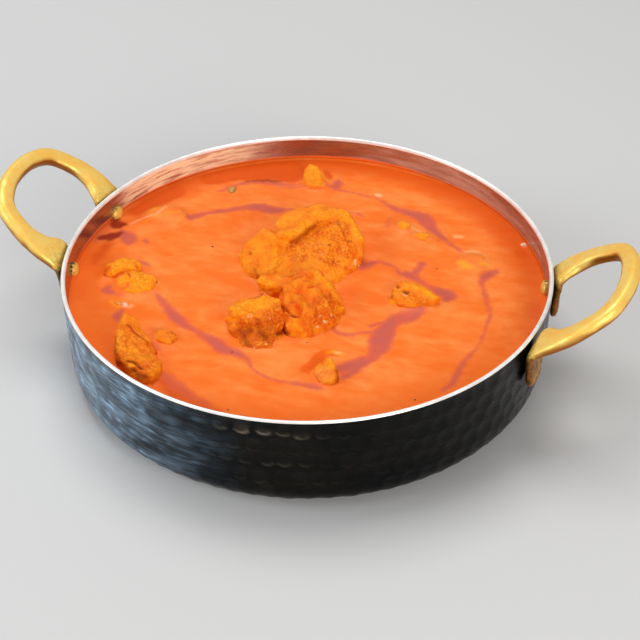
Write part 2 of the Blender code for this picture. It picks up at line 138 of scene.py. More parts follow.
def curved(path, parts=5):
    # a smooth line through all points of a path
    points = np.array(path, float)
    points = np.vstack([2 * points[0] - points[1], points, 2 * points[-1] - points[-2]])
    line = []
    for a, b, c, d in zip(points, points[1:], points[2:], points[3:]):
        for t in np.arange(parts) / parts:
            bend = (2 * a - 5 * b + 4 * c - d) * t**2 + (3 * b - a - 3 * c + d) * t**3
            line.append((2 * b + (c - a) * t + bend) / 2)
    return np.array(line + [points[-2]])


def inside(spots, path):
    # how far each spot lies inside a stroke, whose last column is its half width
    best = np.full(len(spots), -99.0)
    for start, end in zip(path, path[1:]):
        along = end[:-1] - start[:-1]
        t = np.clip((spots - start[:-1]) @ along / (along @ along), 0, 1)
        gap = np.linalg.norm(spots - start[:-1] - t[:, None] * along, axis=1)
        best = np.maximum(best, start[-1] + (end[-1] - start[-1]) * t - gap)
    return best


def insideOutline(spots, outline):
    # how far each spot lies inside a closed outline
    corners = np.array(outline, float)
    best = np.full(len(spots), 99.0)
    odd = np.zeros(len(spots), bool)
    for start, end in zip(corners, np.roll(corners, -1, axis=0)):
        along = end - start
        t = np.clip((spots - start) @ along / (along @ along), 0, 1)
        best = np.minimum(best, np.linalg.norm(spots - start - t[:, None] * along, axis=1))
        spans = (start[1] > spots[:, 1]) != (end[1] > spots[:, 1])
        crossing = start[0] + (spots[:, 1] - start[1]) / (along[1] or 1e-9) * along[0]
        odd ^= spans & (spots[:, 0] < crossing)
    return np.where(odd, best, -best)


def sightOf(spots, normals):
    # where each spot shows in the picture plane, and how much it faces the eye
    eye, aim = np.array(view["spot"]), np.array(view["aim"])
    reach = np.linalg.norm(aim - eye)
    forward = (aim - eye) / reach
    right = np.cross(forward, (0, 0, 1))
    right /= np.linalg.norm(right)
    up = np.cross(right, forward)
    ray = spots - eye
    seen = np.stack([ray @ right, ray @ up], 1) * (reach / (ray @ forward))[:, None]
    towards = -(ray * normals).sum(1) / np.linalg.norm(ray, axis=1)
    return seen, ease(towards, -0.25, 0.15)


def wallRadius(z, inset=0.0):
    up = (z - pan["corner"]) / (pan["height"] - pan["corner"])
    return pan["radius"] - pan["taper"] * (1 - up) - inset


print("stage: materials")


def newMaterial(name):
    material = bpy.data.materials.new(name)
    material.use_nodes = True
    return material, material.node_tree, material.node_tree.nodes["Principled BSDF"]


def setInputs(tree, node, inputs):
    for key, value in inputs.items():
        if isinstance(value, bpy.types.NodeSocket):
            tree.links.new(value, node.inputs[key])
        else:
            node.inputs[key].default_value = value


def place(tree, kind, inputs=None, **settings):
    node = tree.nodes.new(kind)
    for key, value in settings.items():
        setattr(node, key, value)
    setInputs(tree, node, inputs or {})
    return node


def mixColours(tree, factor, first, second):
    inputs = {0: factor, 6: first, 7: second}
    return place(tree, "ShaderNodeMix", inputs, data_type="RGBA").outputs[2]


def times(tree, first, second):
    inputs = {0: first, 1: second}
    return place(tree, "ShaderNodeMath", inputs, operation="MULTIPLY", use_clamp=True).outputs[0]


def plus(tree, first, second):
    return place(tree, "ShaderNodeMath", {0: first, 1: second}, operation="ADD").outputs[0]


def scaled(tree, value, factor, shift=0.0):
    inputs = {0: value, 1: factor, 2: shift}
    return place(tree, "ShaderNodeMath", inputs, operation="MULTIPLY_ADD").outputs[0]


def between(tree, value, low, high):
    return place(tree, "ShaderNodeMapRange", {0: value, 3: low, 4: high}).outputs[0]


def easeNode(tree, value, low, high):
    inputs = {0: value, 1: low, 2: high}
    return place(tree, "ShaderNodeMapRange", inputs, interpolation_type="SMOOTHSTEP").outputs[0]


def rgb(red, green, blue):
    return (red, green, blue, 1.0)


def grainGroup():
    # noise on object coordinates, stretched and pushed to contrast, for colours and bumps
    group = bpy.data.node_groups.new("grain", "ShaderNodeTree")
    sockets = {"Size": 1.0, "Stretch X": 1.0, "Stretch Y": 1.0, "Stretch Z": 1.0}
    sockets.update({"Detail": 3.0, "Low": 0.35, "High": 0.65})
    for name, value in sockets.items():
        socket = group.interface.new_socket(name, in_out="INPUT", socket_type="NodeSocketFloat")
        socket.default_value = value
    group.interface.new_socket("Value", in_out="OUTPUT", socket_type="NodeSocketFloat")
    start = place(group, "NodeGroupInput").outputs
    spot = place(group, "ShaderNodeTexCoord").outputs["Object"]
    stretch = {axis: start["Stretch " + axis] for axis in "XYZ"}
    stretch = place(group, "ShaderNodeCombineXYZ", stretch).outputs[0]
    mapped = place(group, "ShaderNodeVectorMath", {0: spot, 1: stretch}, operation="MULTIPLY")
    scale = place(group, "ShaderNodeMath", {0: 1 / mm, 1: start["Size"]}, operation="DIVIDE")
    cloud = {"Vector": mapped.outputs[0], "Scale": scale.outputs[0], "Detail": start["Detail"]}
    cloud = place(group, "ShaderNodeTexNoise", cloud).outputs["Fac"]
    sharp = easeNode(group, cloud, start["Low"], start["High"])
    place(group, "NodeGroupOutput", {"Value": sharp})
    return group


grain = grainGroup()


def addGrain(tree, size, low=0.35, high=0.65, stretch=(1, 1, 1), detail=3.0):
    inputs = {"Size": size, "Low": low, "High": high, "Detail": detail}
    inputs.update({"Stretch " + axis: value for axis, value in zip("XYZ", stretch)})
    return place(tree, "ShaderNodeGroup", inputs, node_tree=grain).outputs["Value"]


def addGrains(tree, grains, *names):
    return [addGrain(tree, *grains[name]) for name in names]


def addLayer(tree, name):
    return place(tree, "ShaderNodeAttribute", attribute_name=name).outputs["Fac"]


def addBump(tree, shader, height, strength, distance, normal=None):
    inputs = {"Height": height, "Strength": strength, "Distance": distance * mm}
    if normal:
        inputs["Normal"] = normal
    bump = place(tree, "ShaderNodeBump", inputs)
    tree.links.new(bump.outputs[0], shader.inputs["Normal"])
    return bump.outputs[0]


steelLook = {
    "tarnish": rgb(0.003, 0.0035, 0.0035),
    "brown": rgb(0.013, 0.010, 0.007),
    # painted reflection of cool light from the left, on the outside
    "worn": rgb(0.48, 0.71, 0.96),
    # painted glints on the dimples' lower edges
    "edge": rgb(0.55, 0.45, 0.34),
    "inner": rgb(0.46, 0.40, 0.36),
    "smear": rgb(0.24, 0.16, 0.11),
    # peach and pink: painted reflections on the bare inside
    "peach": rgb(1.0, 0.88, 0.58),
    "pink": rgb(0.52, 0.32, 0.22),
    "rim": rgb(0.97, 0.95, 0.92),
}
# grains give a size in mm, the noise where they start and are full, a stretch and a detail
steelGrain = {
    "streaks": (2.6, 0.38, 0.66, (0.35, 0.35, 2.0), 5.0),
    "stains": (14.0, 0.4, 0.7),
    "lines": (0.42, 0.3, 0.7, (0.08, 0.08, 1.5), 4.0),
    "innerLines": (0.7, 0.3, 0.7, (0.12, 0.12, 1.5), 4.0),
    "smears": (2.4, 0.35, 0.7, (0.2, 0.2, 1.3), 4.0),
    "blots": (1.6, 0.36, 0.66, (0.16, 0.16, 1.4), 4.0),
    "rim": (4.0,),
}


def hammeredSteel():
    material, tree, shader = newMaterial("hammeredSteel")
    streaks, stains, lines = addGrains(tree, steelGrain, "streaks", "stains", "lines")
    # painted reflection on the outside, broken up by streaks and lines
    worn = times(tree, addLayer(tree, "worn"), scaled(tree, streaks, 0.9, 0.5))
    worn = times(tree, worn, scaled(tree, lines, 1.0, 0.5))
    colour = mixColours(tree, scaled(tree, stains, 0.6), steelLook["tarnish"], steelLook["brown"])
    colour = mixColours(tree, worn, colour, steelLook["worn"])
    # painted glints on the dimples' lower edges
    colour = mixColours(tree, addLayer(tree, "edge"), colour, steelLook["edge"])
    rough = between(tree, lines, 0.24, 0.4)
    setInputs(tree, shader, {"Base Color": colour, "Metallic": 0.9, "Roughness": rough})
    addBump(tree, shader, lines, 0.3, 0.08)
    return material


def innerSteel():
    material, tree, shader = newMaterial("innerSteel")
    lines, smears, blots = addGrains(tree, steelGrain, "innerLines", "smears", "blots")
    # peach and pink painted reflection on the bare inside, less metallic there
    haze = times(tree, addLayer(tree, "haze"), scaled(tree, blots, 0.8, 0.5))
    tint = mixColours(tree, addLayer(tree, "peach"), steelLook["pink"], steelLook["peach"])
    splash = addLayer(tree, "splash")
    colour = mixColours(tree, scaled(tree, smears, 0.6), steelLook["inner"], steelLook["smear"])
    colour = mixColours(tree, haze, colour, tint)
    colour = mixColours(tree, splash, colour, gravyLook["orange"])
    metal = between(tree, plus(tree, haze, splash), 1.0, 0.25)
    rough = between(tree, smears, 0.22, 0.38)
    setInputs(tree, shader, {"Base Color": colour, "Metallic": metal, "Roughness": rough})
    addBump(tree, shader, lines, 0.2, 0.05)
    return material


def rimSteel():
    material, tree, shader = newMaterial("bareRim")
    dull = scaled(tree, *addGrains(tree, steelGrain, "rim"), 0.25)
    colour = mixColours(tree, dull, steelLook["rim"], steelLook["inner"])
    setInputs(tree, shader, {"Base Color": colour, "Metallic": 0.25, "Roughness": 0.28})
    return material


brassLook = {
    "bright": rgb(1.0, 0.69, 0.17),
    "deep": rgb(1.0, 0.49, 0.055),
    # painted shade on undersides and inside the loop
    "under": rgb(0.30, 0.080, 0.002),
    "grime": rgb(0.055, 0.026, 0.005),
    "shine": rgb(1.0, 0.86, 0.52),
}
brassGrain = {
    "mottle": (4.2, 0.3, 0.75, (1, 1, 1), 4.0),
    "specks": (1.3, 0.49, 0.61, (1, 1, 1), 4.0),
}


def brassMetal():
    material, tree, shader = newMaterial("castBrass")
    mottle, specks = addGrains(tree, brassGrain, "mottle", "specks")
    colour = mixColours(tree, scaled(tree, mottle, 0.7), brassLook["bright"], brassLook["deep"])
    # painted shade
    colour = mixColours(tree, addLayer(tree, "under"), colour, brassLook["under"])
    blotches = plus(tree, specks, scaled(tree, mottle, 0.35))
    grime = times(tree, addLayer(tree, "grime"), blotches)
    colour = mixColours(tree, grime, colour, brassLook["grime"])
    rough = between(tree, mottle, 0.3, 0.45)
    setInputs(tree, shader, {"Base Color": colour, "Metallic": 0.25, "Roughness": rough})
    setInputs(tree, shader, {"Specular IOR Level": 0.7, "Specular Tint": brassLook["shine"]})
    pitted = addBump(tree, shader, specks, 0.2, 0.08)
    addBump(tree, shader, mottle, 0.35, 0.25, pitted)
    return material


def addWetness(tree, shader, tint, weight):
    # the soft shine and depth that gravy and meat share
    setInputs(tree, shader, {"Specular IOR Level": 0.22, "Specular Tint": tint})
    depth = {"Weight": weight, "Radius": (1.0, 0.35, 0.1), "Scale": 1.6 * mm}
    setInputs(tree, shader, {"Subsurface " + key: value for key, value in depth.items()})


gravyLook = {
    "orange": rgb(0.91, 0.165, 0.014),
    # light: painted sheen
    "light": rgb(0.98, 0.275, 0.058),
    "red": rgb(0.90, 0.134, 0.003),
    "deep": rgb(0.70, 0.078, 0.001),
    # dull: painted shade near the walls
    "dull": rgb(0.70, 0.115, 0.035),
    "oil": rgb(0.56, 0.102, 0.078),
    "oilRed": rgb(0.69, 0.108, 0.055),
    "dark": rgb(0.28, 0.012, 0.004),
    # pale: mostly painted highlights, and pale fat and onion beside some bits
    "pale": rgb(0.95, 0.48, 0.22),
    "gold": rgb(1.0, 0.37, 0.014),
    "shine": rgb(1.0, 0.76, 0.46),
}
gravyGrain = {
    "wisps": (4.0, 0.28, 0.75, (1, 1, 1), 4.0),
    "ragged": (2.2, 0.2, 0.8, (1, 1, 1), 5.0),
    "blotches": (5.0, 0.2, 0.6),
}


def gravyMaterial():
    material, tree, shader = newMaterial("curryGravy")
    wisps, ragged, blotches = addGrains(tree, gravyGrain, "wisps", "ragged", "blotches")
    # painted sheen on the raised ripples
    stroke = times(tree, scaled(tree, wisps, 0.5, 0.5), addLayer(tree, "stroke"))
    colour = mixColours(tree, stroke, gravyLook["orange"], gravyLook["light"])
    for name in ("dull", "red", "deep", "gold", "pale"):
        colour = mixColours(tree, addLayer(tree, name), colour, gravyLook[name])
    field = plus(tree, addLayer(tree, "oil"), scaled(tree, ragged, 0.9, -0.45))
    oil = easeNode(tree, field, -0.9, 0.7)
    core = times(tree, easeNode(tree, field, 0.0, 1.6), blotches)
    oilTone = mixColours(tree, core, gravyLook["oilRed"], gravyLook["oil"])
    colour = mixColours(tree, times(tree, oil, addLayer(tree, "oilThick")), colour, oilTone)
    colour = mixColours(tree, addLayer(tree, "dark"), colour, gravyLook["dark"])
    setInputs(tree, shader, {"Base Color": colour, "Roughness": between(tree, oil, 0.38, 0.34)})
    addWetness(tree, shader, gravyLook["shine"], 0.25)
    addBump(tree, shader, wisps, 0.12, 0.25)
    return material


meatLook = {
    "coated": rgb(0.95, 0.250, 0.016),
    "coatedDeep": rgb(0.78, 0.130, 0.003),
    "gold": rgb(1.0, 0.39, 0.012),
    "goldDeep": rgb(0.95, 0.24, 0.003),
    "browned": rgb(0.84, 0.165, 0.003),
    "brownedDeep": rgb(0.58, 0.070, 0.001),
    "grains": rgb(1.0, 0.34, 0.040),
    # dark: mostly painted shade, in crevices, under ridges and on shaded sides
    "dark": rgb(0.13, 0.010, 0.001),
    # red: red spots, and painted shade in fold valleys and under the dark marks
    "red": rgb(0.70, 0.070, 0.001),
    # pale: painted highlights
    "pale": rgb(1.0, 0.66, 0.36),
    # painted sheen in yellow flecks
    "fleck": rgb(1.0, 0.48, 0.060),
    "shine": rgb(1.0, 0.72, 0.30),
}
meatGrain = {
    "patches": (3.0, 0.32, 0.68, (1, 1, 1), 4.0),
    "fine": (0.9, 0.3, 0.7, (1, 1, 1), 4.0),
    "crumbs": (0.7, 0.53, 0.66, (1, 1, 1), 2.0),
    "sheenFlecks": (1.5, 0.5, 0.75, (1, 1, 1), 4.0),
    "hollows": (2.1, 0.52, 0.75),
    "wet": (1.3, 0.5, 0.75),
}


def meatMaterial():
    material, tree, shader = newMaterial("stewedLamb")
    patches, fine, crumbs = addGrains(tree, meatGrain, "patches", "fine", "crumbs")
    sheenFlecks, hollows, wet = addGrains(tree, meatGrain, "sheenFlecks", "hollows", "wet")
    coated = mixColours(tree, patches, meatLook["coated"], meatLook["coatedDeep"])
    coated = mixColours(tree, scaled(tree, fine, 0.2), coated, meatLook["gold"])
    browned = mixColours(tree, fine, meatLook["browned"], meatLook["brownedDeep"])
    browned = mixColours(tree, scaled(tree, crumbs, 0.6), browned, meatLook["grains"])
    brown = plus(tree, addLayer(tree, "brown"), scaled(tree, fine, 0.3, -0.15))
    colour = mixColours(tree, easeNode(tree, brown, 0.15, 0.85), coated, browned)
    golden = mixColours(tree, fine, meatLook["gold"], meatLook["goldDeep"])
    colour = mixColours(tree, scaled(tree, addLayer(tree, "gold"), 0.9), colour, golden)
    # painted sheen in yellow flecks
    colour = mixColours(tree, scaled(tree, sheenFlecks, 0.3), colour, meatLook["fleck"])
    colour = mixColours(tree, scaled(tree, hollows, 0.3), colour, meatLook["coatedDeep"])
    colour = mixColours(tree, addLayer(tree, "soaked"), colour, gravyLook["orange"])
    # then red, painted shade and painted highlights from the marks
    for name in ("red", "dark", "pale"):
        colour = mixColours(tree, addLayer(tree, name), colour, meatLook[name])
    glaze = scaled(tree, times(tree, addLayer(tree, "brown"), wet), 0.25)
    setInputs(tree, shader, {"Base Color": colour, "Roughness": between(tree, crumbs, 0.45, 0.25)})
    setInputs(tree, shader, {"Coat Weight": glaze, "Coat Roughness": 0.15})
    addWetness(tree, shader, meatLook["shine"], 0.2)
    grainy = addBump(tree, shader, fine, 0.55, 0.35)
    addBump(tree, shader, patches, 0.4, 0.6, grainy)
    return material


def bitMaterial(name, light, dark, rough):
    material, tree, shader = newMaterial(name)
    colour = mixColours(tree, addGrain(tree, 1.2), light, dark)
    setInputs(tree, shader, {"Base Color": colour, "Roughness": rough})
    addBump(tree, shader, addGrain(tree, 0.6), 0.3, 0.2)
    return material


steelOutside = hammeredSteel()
steelInside = innerSteel()
steelRim = rimSteel()
brass = brassMetal()
gravySkin = gravyMaterial()
meat = meatMaterial()

print("stage: pan")


def arcPoints(centreR, centreZ, radius, start, end, parts):
    points = []
    for i in range(parts + 1):
        angle = math.radians(start + (end - start) * i / parts)
        points.append((centreR + radius * math.cos(angle), centreZ + radius * math.sin(angle)))
    return points


def cornerArc(inset, start, end, parts):
    # round the corner between base and wall
    middle = pan["radius"] - pan["taper"] - pan["corner"]
    return arcPoints(middle, pan["corner"], pan["corner"] - inset, start, end, parts)


def panProfile():
    lip = pan["wall"] / 2
    high = pan["height"] - lip
    rise = np.linspace(gravyLevel - 2, high, 22)[:-1]
    inner = [(0, pan["wall"])] + cornerArc(pan["wall"], -90, 0, 5)
    inner += [(wallRadius(z, pan["wall"]), z) for z in rise]
    rim = arcPoints(pan["radius"] - lip, high, lip, 180, 0, 10)
    rows = int((high - pan["corner"]) / pan["rowGap"])
    outer = [(wallRadius(z), z) for z in np.linspace(high, pan["corner"], rows + 1)[1:-1]]
    bend = cornerArc(0, 0, -90, int(pan["corner"] * math.pi / 2 / pan["rowGap"]))
    return inner + rim + outer + bend + [(0, 0)]


# places round the pan are in degrees, from the right handle towards the back; here lie the painted
# reflections and painted glints
paintedShine = {
    # bright: where the painted reflection on the outside lies
    "bright": (165, 200, 226, 276),  # starts, is full, begins to fade, is gone
    "glints": (279, 9),  # where the painted glints on the dimples' lower edges lie: middle and half width
    "glintRow": (4.5, 2.0),  # below the rim, and half its height
    "peach": (112, 132, 156, 170),  # painted reflection inside
    "pink": (-10, 46, 76, 100),
}


def nearestDimple(turn, down):
    # for each spot: how far the nearest dimple's middle is, its size, and the way to it
    count = round(2 * math.pi * pan["radius"] / pan["dimpleWide"])
    u = turn / (2 * math.pi) * count
    v = (down - pan["plainBand"]) / pan["dimpleTall"]
    gap, size = np.full(len(u), 9.0), np.ones(len(u))
    below, beside = np.zeros(len(u)), np.zeros(len(u))
    for row in (-1, 0, 1):
        rowHere = np.floor(v) + row
        shift = np.mod(rowHere, 2) * 0.5 + np.sin(rowHere * 12.9) * 0.3
        for column in (-1, 0, 1):
            columnHere = np.floor(u - shift) + column
            tag = np.mod(columnHere, count) * 7.13 + rowHere * 31.7
            strays = [np.modf(np.sin(tag * k) * 437.5)[0] for k in (1.0, 1.7, 2.3)]
            offU = u - shift - columnHere - 0.5 - strays[0] * pan["dimpleStray"]
            offV = v - rowHere - 0.5 - strays[1] * pan["dimpleStray"]
            far = offU**2 + offV**2
            closer = far < gap
            gap = np.where(closer, far, gap)
            size = np.where(closer, 0.75 + 0.5 * np.abs(strays[2]), size)
            below, beside = np.where(closer, offV, below), np.where(closer, offU, beside)
    return gap, size, below, beside


def hammer(mesh):
    # press rows of dimples into the outside, and note where it gets a painted reflection and
    # painted glints
    spots, normals = spotsOf(mesh), normalsOf(mesh)
    radius = np.hypot(spots[:, 0], spots[:, 1])
    turn = np.arctan2(spots[:, 1], spots[:, 0])
    slope = np.arctan2(normals[:, 2], np.maximum(np.hypot(normals[:, 0], normals[:, 1]), 1e-6))
    onWall = spots[:, 2] > pan["corner"]
    roundCorner = pan["height"] - pan["corner"] - pan["corner"] * slope
    down = np.where(onWall, pan["height"] - spots[:, 2], roundCorner)
    outwards = normals[:, 0] * spots[:, 0] + normals[:, 1] * spots[:, 1] > 0
    outside = (outwards | (spots[:, 2] < 0.01)) & (radius > pan["radius"] - pan["corner"] - 4)
    gap, size, below, beside = nearestDimple(turn, down)
    fade = within(down, 0.5, pan["plainBand"] + 0.9, 36, 41)
    bowl = np.clip(1 - gap * pan["dimpleBowl"], 0, 1)
    press = pan["dimpleDeep"] * size * bowl * fade * outside
    moveTo(mesh, spots - normals * press[:, None])
    degrees = np.mod(np.degrees(turn), 360)
    # painted reflection, brightest near each dimple's middle, only from the left round to the front
    glow = np.exp(-((beside + 0.1) ** 2 + (below - 0.1) ** 2) / 0.06) * (size - 0.6)
    bright = np.clip(0.36 + 0.75 * glow + 0.45 * lumps(spots, (9, 9, 5), 3), 0.1, 1)
    bright *= within(degrees, *paintedShine["bright"]) * ease(spots[:, 2], -6, 6)
    paint(mesh, "worn", bright * outside)
    # painted glints: crescents on each dimple's lower edge, strongest at the front
    crescent = bell(np.sqrt(gap), 0.42, 0.055) * ease(below / np.sqrt(gap + 1e-6), 0.35, 0.95)
    crescent += 0.12 * ease(0.2 - gap, 0, 0.1)
    front = bell(degrees, *paintedShine["glints"]) * (0.1 + 0.5 * bell(down, *paintedShine["glintRow"]))
    front = front * ease(lumps(spots, (7, 7, 4), 27), -0.25, 0.25) + 0.02
    paint(mesh, "edge", np.clip(crescent * front * (size - 0.3) * 1.2, 0, 0.8) * outside)
    paintInside(mesh, spots, degrees)


def roundStreaks(spots, degrees, often, tall, seed):
    # noise drawn out round the pan
    turn = np.radians(degrees)
    drawn = np.stack([np.cos(turn) * often, np.sin(turn) * often, spots[:, 2] / tall], 1)
    return lumps(drawn, 1.0, seed)


def paintInside(mesh, spots, degrees):
    # where the bare inside gets a painted reflection, and how peach or pink it is
    bands = roundStreaks(spots, degrees, 2.2, 2.2, 21)
    dashes = roundStreaks(spots, degrees, 9, 0.9, 22)
    back = np.where(degrees > 270, degrees - 360, degrees)  # so it jumps only at the front
    peach, pink = within(back, *paintedShine["peach"]), within(back, *paintedShine["pink"])
    low = 1 - ease(spots[:, 2], gravyLevel + 2.0, gravyLevel + 4.5)
    reflected = peach * (1.3 + 1.5 * dashes + 0.6 * bands)
    reflected += pink * (0.45 + 0.4 * low + 0.9 * bands + 0.25 * dashes)
    paint(mesh, "haze", np.clip(reflected + 0.06, 0, 1))
    paint(mesh, "peach", peach)
    tide = gravyLevel + 0.9 + 0.5 * bands
    paint(mesh, "splash", 1 - ease(spots[:, 2], tide, tide + 0.5))


panMesh = spunMesh("hammeredPan", panProfile(), pan["steps"])
hammer(panMesh)
makeObject("hammeredPan", panMesh, [steelOutside, steelInside, steelRim], "steel", "pan")
for face in panMesh.polygons:
    centre = face.center / mm
    outwards = face.normal.x * centre.x + face.normal.y * centre.y > 0
    if centre.z > pan["height"] - (0.5 if outwards else 1.0):
        face.material_index = 2
    elif not outwards and centre.z > pan["wall"] / 2 or face.normal.z > 0.6:
        face.material_index = 1

print("stage: handles and rivets")

handle = {
    "footAngle": 13.4,  # between the handle's axis and each foot
    "tilt": 36.7,
    "start": 72.1,  # where the loop's plane meets the rivets' height
    "reach": 38.35,
    "footDrop": 18.0,  # below the rim
    "footInset": 1.4,
    "sides": 28,
    "parts": 7,  # rings between two stations
    "squareness": 0.72,
    "uneven": [(9, 0.16, 1), (3, 0.05, 2)],  # the cast surface's lumps: size, depth and seed
}
rivet = {"radius": 2.9, "height": 1.9, "drop": 8.0}


def loopSpot(side, along):
    tilt = math.radians(handle["tilt"])
    out = handle["start"] + along * math.cos(tilt)
    return out, side, pan["height"] - rivet["drop"] + along * math.sin(tilt)


def footSpot(radius, drop):
    angle = math.radians(handle["footAngle"])
    return radius * math.cos(angle), radius * math.sin(angle), pan["height"] - drop


def handleStations():
    # place, width, thickness and lean of the band, from the loop's middle down to a foot
    wall, tilt, reach = pan["radius"] + handle["footInset"], handle["tilt"], handle["reach"]
    return [
        (*loopSpot(-9.0, reach - 1.1), 5.8, 4.6, tilt),
        (*loopSpot(0.0, reach), 5.8, 4.6, tilt),
        (*loopSpot(9.0, reach - 1.1), 5.8, 4.6, tilt),
        (*loopSpot(16.7, reach - 5.3), 6.0, 4.5, tilt),
        (*loopSpot(20.8, reach - 14.0), 6.8, 4.4, tilt),
        (*loopSpot(21.2, reach - 21.5), 9.2, 4.1, tilt),
        (*footSpot(wall + 1.4, 1.8), 13.0, 3.5, tilt + 14),
        (*footSpot(wall + 0.3, 4.8), 13.2, 3.1, 74),
        (*footSpot(wall, 8.4), 11.6, 3.0, 90),
        (*footSpot(wall, 12.0), 9.6, 3.0, 90),
        (*footSpot(wall, handle["footDrop"] - 2.2), 7.6, 2.6, 90),
        (*footSpot(wall, handle["footDrop"]), 4.2, 1.6, 90),
    ]


def squared(value):
    # fuller than a circle, so the band gets rounded corners
    return math.copysign(abs(value) ** handle["squareness"], value)


def bandRing(bm, station, tangent):
    centre, (width, thickness, lean) = Vector(station[:3]), station[3:]
    azimuth = math.atan2(centre.y, centre.x) * ease(lean, 45, 70)
    lean = math.radians(lean)
    inwards = -math.sin(lean)
    face = Vector((inwards * math.cos(azimuth), inwards * math.sin(azimuth), math.cos(lean)))
    across = face.cross(tangent).normalized()
    face = tangent.cross(across).normalized()
    ring = []
    for i in range(handle["sides"]):
        angle = 2 * math.pi * (i + 0.5) / handle["sides"]
        u, v = squared(math.cos(angle)) * width / 2, squared(math.sin(angle)) * thickness / 2
        ring.append(bm.verts.new((centre + across * u + face * v) * mm))
    return [bm.edges.new((ring[i - 1], ring[i])) for i in range(handle["sides"])]


def handleBand(name):
    line = curved(handleStations(), handle["parts"])[handle["parts"]:]
    mirrored = line[:0:-1] * np.array([1, -1, 1, 1, 1, 1])
    line = np.vstack([mirrored, line])
    bm = bmesh.new()
    rings = []
    for i, station in enumerate(line):
        before, after = line[max(i - 1, 0)], line[min(i + 1, len(line) - 1)]
        rings.append(bandRing(bm, station, Vector(after[:3] - before[:3]).normalized()))
    for ring, following in zip(rings, rings[1:]):
        bmesh.ops.bridge_loops(bm, edges=ring + following)
    for ring in (rings[0], rings[-1]):
        bmesh.ops.contextual_create(bm, geom=ring)
    return meshFrom(bm, name)


def handleMesh(name, turn):
    mesh = handleBand(name)
    spots, normals = spotsOf(mesh), normalsOf(mesh)
    uneven = sum(deep * lumps(spots, size, seed) for size, deep, seed in handle["uneven"])
    spots += normals * uneven[:, None]
    reach = np.hypot(spots[:, 0], spots[:, 1])
    push = np.maximum((wallRadius(spots[:, 2]) - 0.1) / reach, 1)  # keep the feet out of the wall
    spots[:, :2] *= np.where(spots[:, 2] < pan["height"] - 0.4, push, 1)[:, None]
    near = 1 - ease(reach, pan["radius"] + 1, pan["radius"] + 7)
    paint(mesh, "grime", near * (1.2 - ease(spots[:, 2], 27, 36)))
    inwards = -(normals[:, 0] * spots[:, 0] + normals[:, 1] * spots[:, 1]) / reach
    # painted shade on faces turned down and on the inside of the loop
    shade = ease(-normals[:, 2] + 0.25 * lumps(spots, 4, 28), -0.42, 0.12)
    shade += 0.55 * ease(inwards, 0.78, 0.97) * ease(reach, 82, 92)
    paint(mesh, "under", np.clip(shade, 0, 1))
    moveTo(mesh, spots)
    mesh.transform(Matrix.Rotation(turn, 4, "Z"))
    return mesh


for name, node, turn in (
    ("brassHandleRight", "handle_right", 0.0),
    ("brassHandleLeft", "handle_left", math.pi),
):
    makeObject(name, handleMesh(name, turn), brass, "brass", node)


def rivetMesh(name, angle):
    bm = bmesh.new()
    bmesh.ops.create_uvsphere(bm, u_segments=36, v_segments=18, radius=1.0)
    dome = Vector((rivet["radius"], rivet["radius"], rivet["height"])) * mm
    bmesh.ops.scale(bm, vec=dome, verts=bm.verts)
    height = pan["height"] - rivet["drop"]
    seat = wallRadius(height, pan["wall"] + 0.1)
    spin = Matrix.Rotation(angle, 4, "Z") @ Matrix.Translation((seat * mm, 0, height * mm))
    spin @= Matrix.Rotation(-math.pi / 2, 4, "Y")
    bmesh.ops.transform(bm, matrix=spin, verts=bm.verts)
    mesh = meshFrom(bm, name)
    spots = spotsOf(mesh)
    edge = ease(np.hypot(spots[:, 0], spots[:, 1]), seat - 1.2, seat - 0.2)
    paint(mesh, "grime", 0.2 + 0.8 * edge)
    # painted shade towards the rivet's edge, where it meets the wall
    paint(mesh, "under", 0.15 + 0.4 * edge)
    return mesh


for i in (1, 2, 3, 4):
    node = f"rivet_{i}"
    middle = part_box(node)[0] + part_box(node)[1]
    mesh = rivetMesh(node, math.atan2(middle.y, middle.x))
    makeObject(f"rivetHead{i}", mesh, brass, "brass", node)

print("stage: meat")
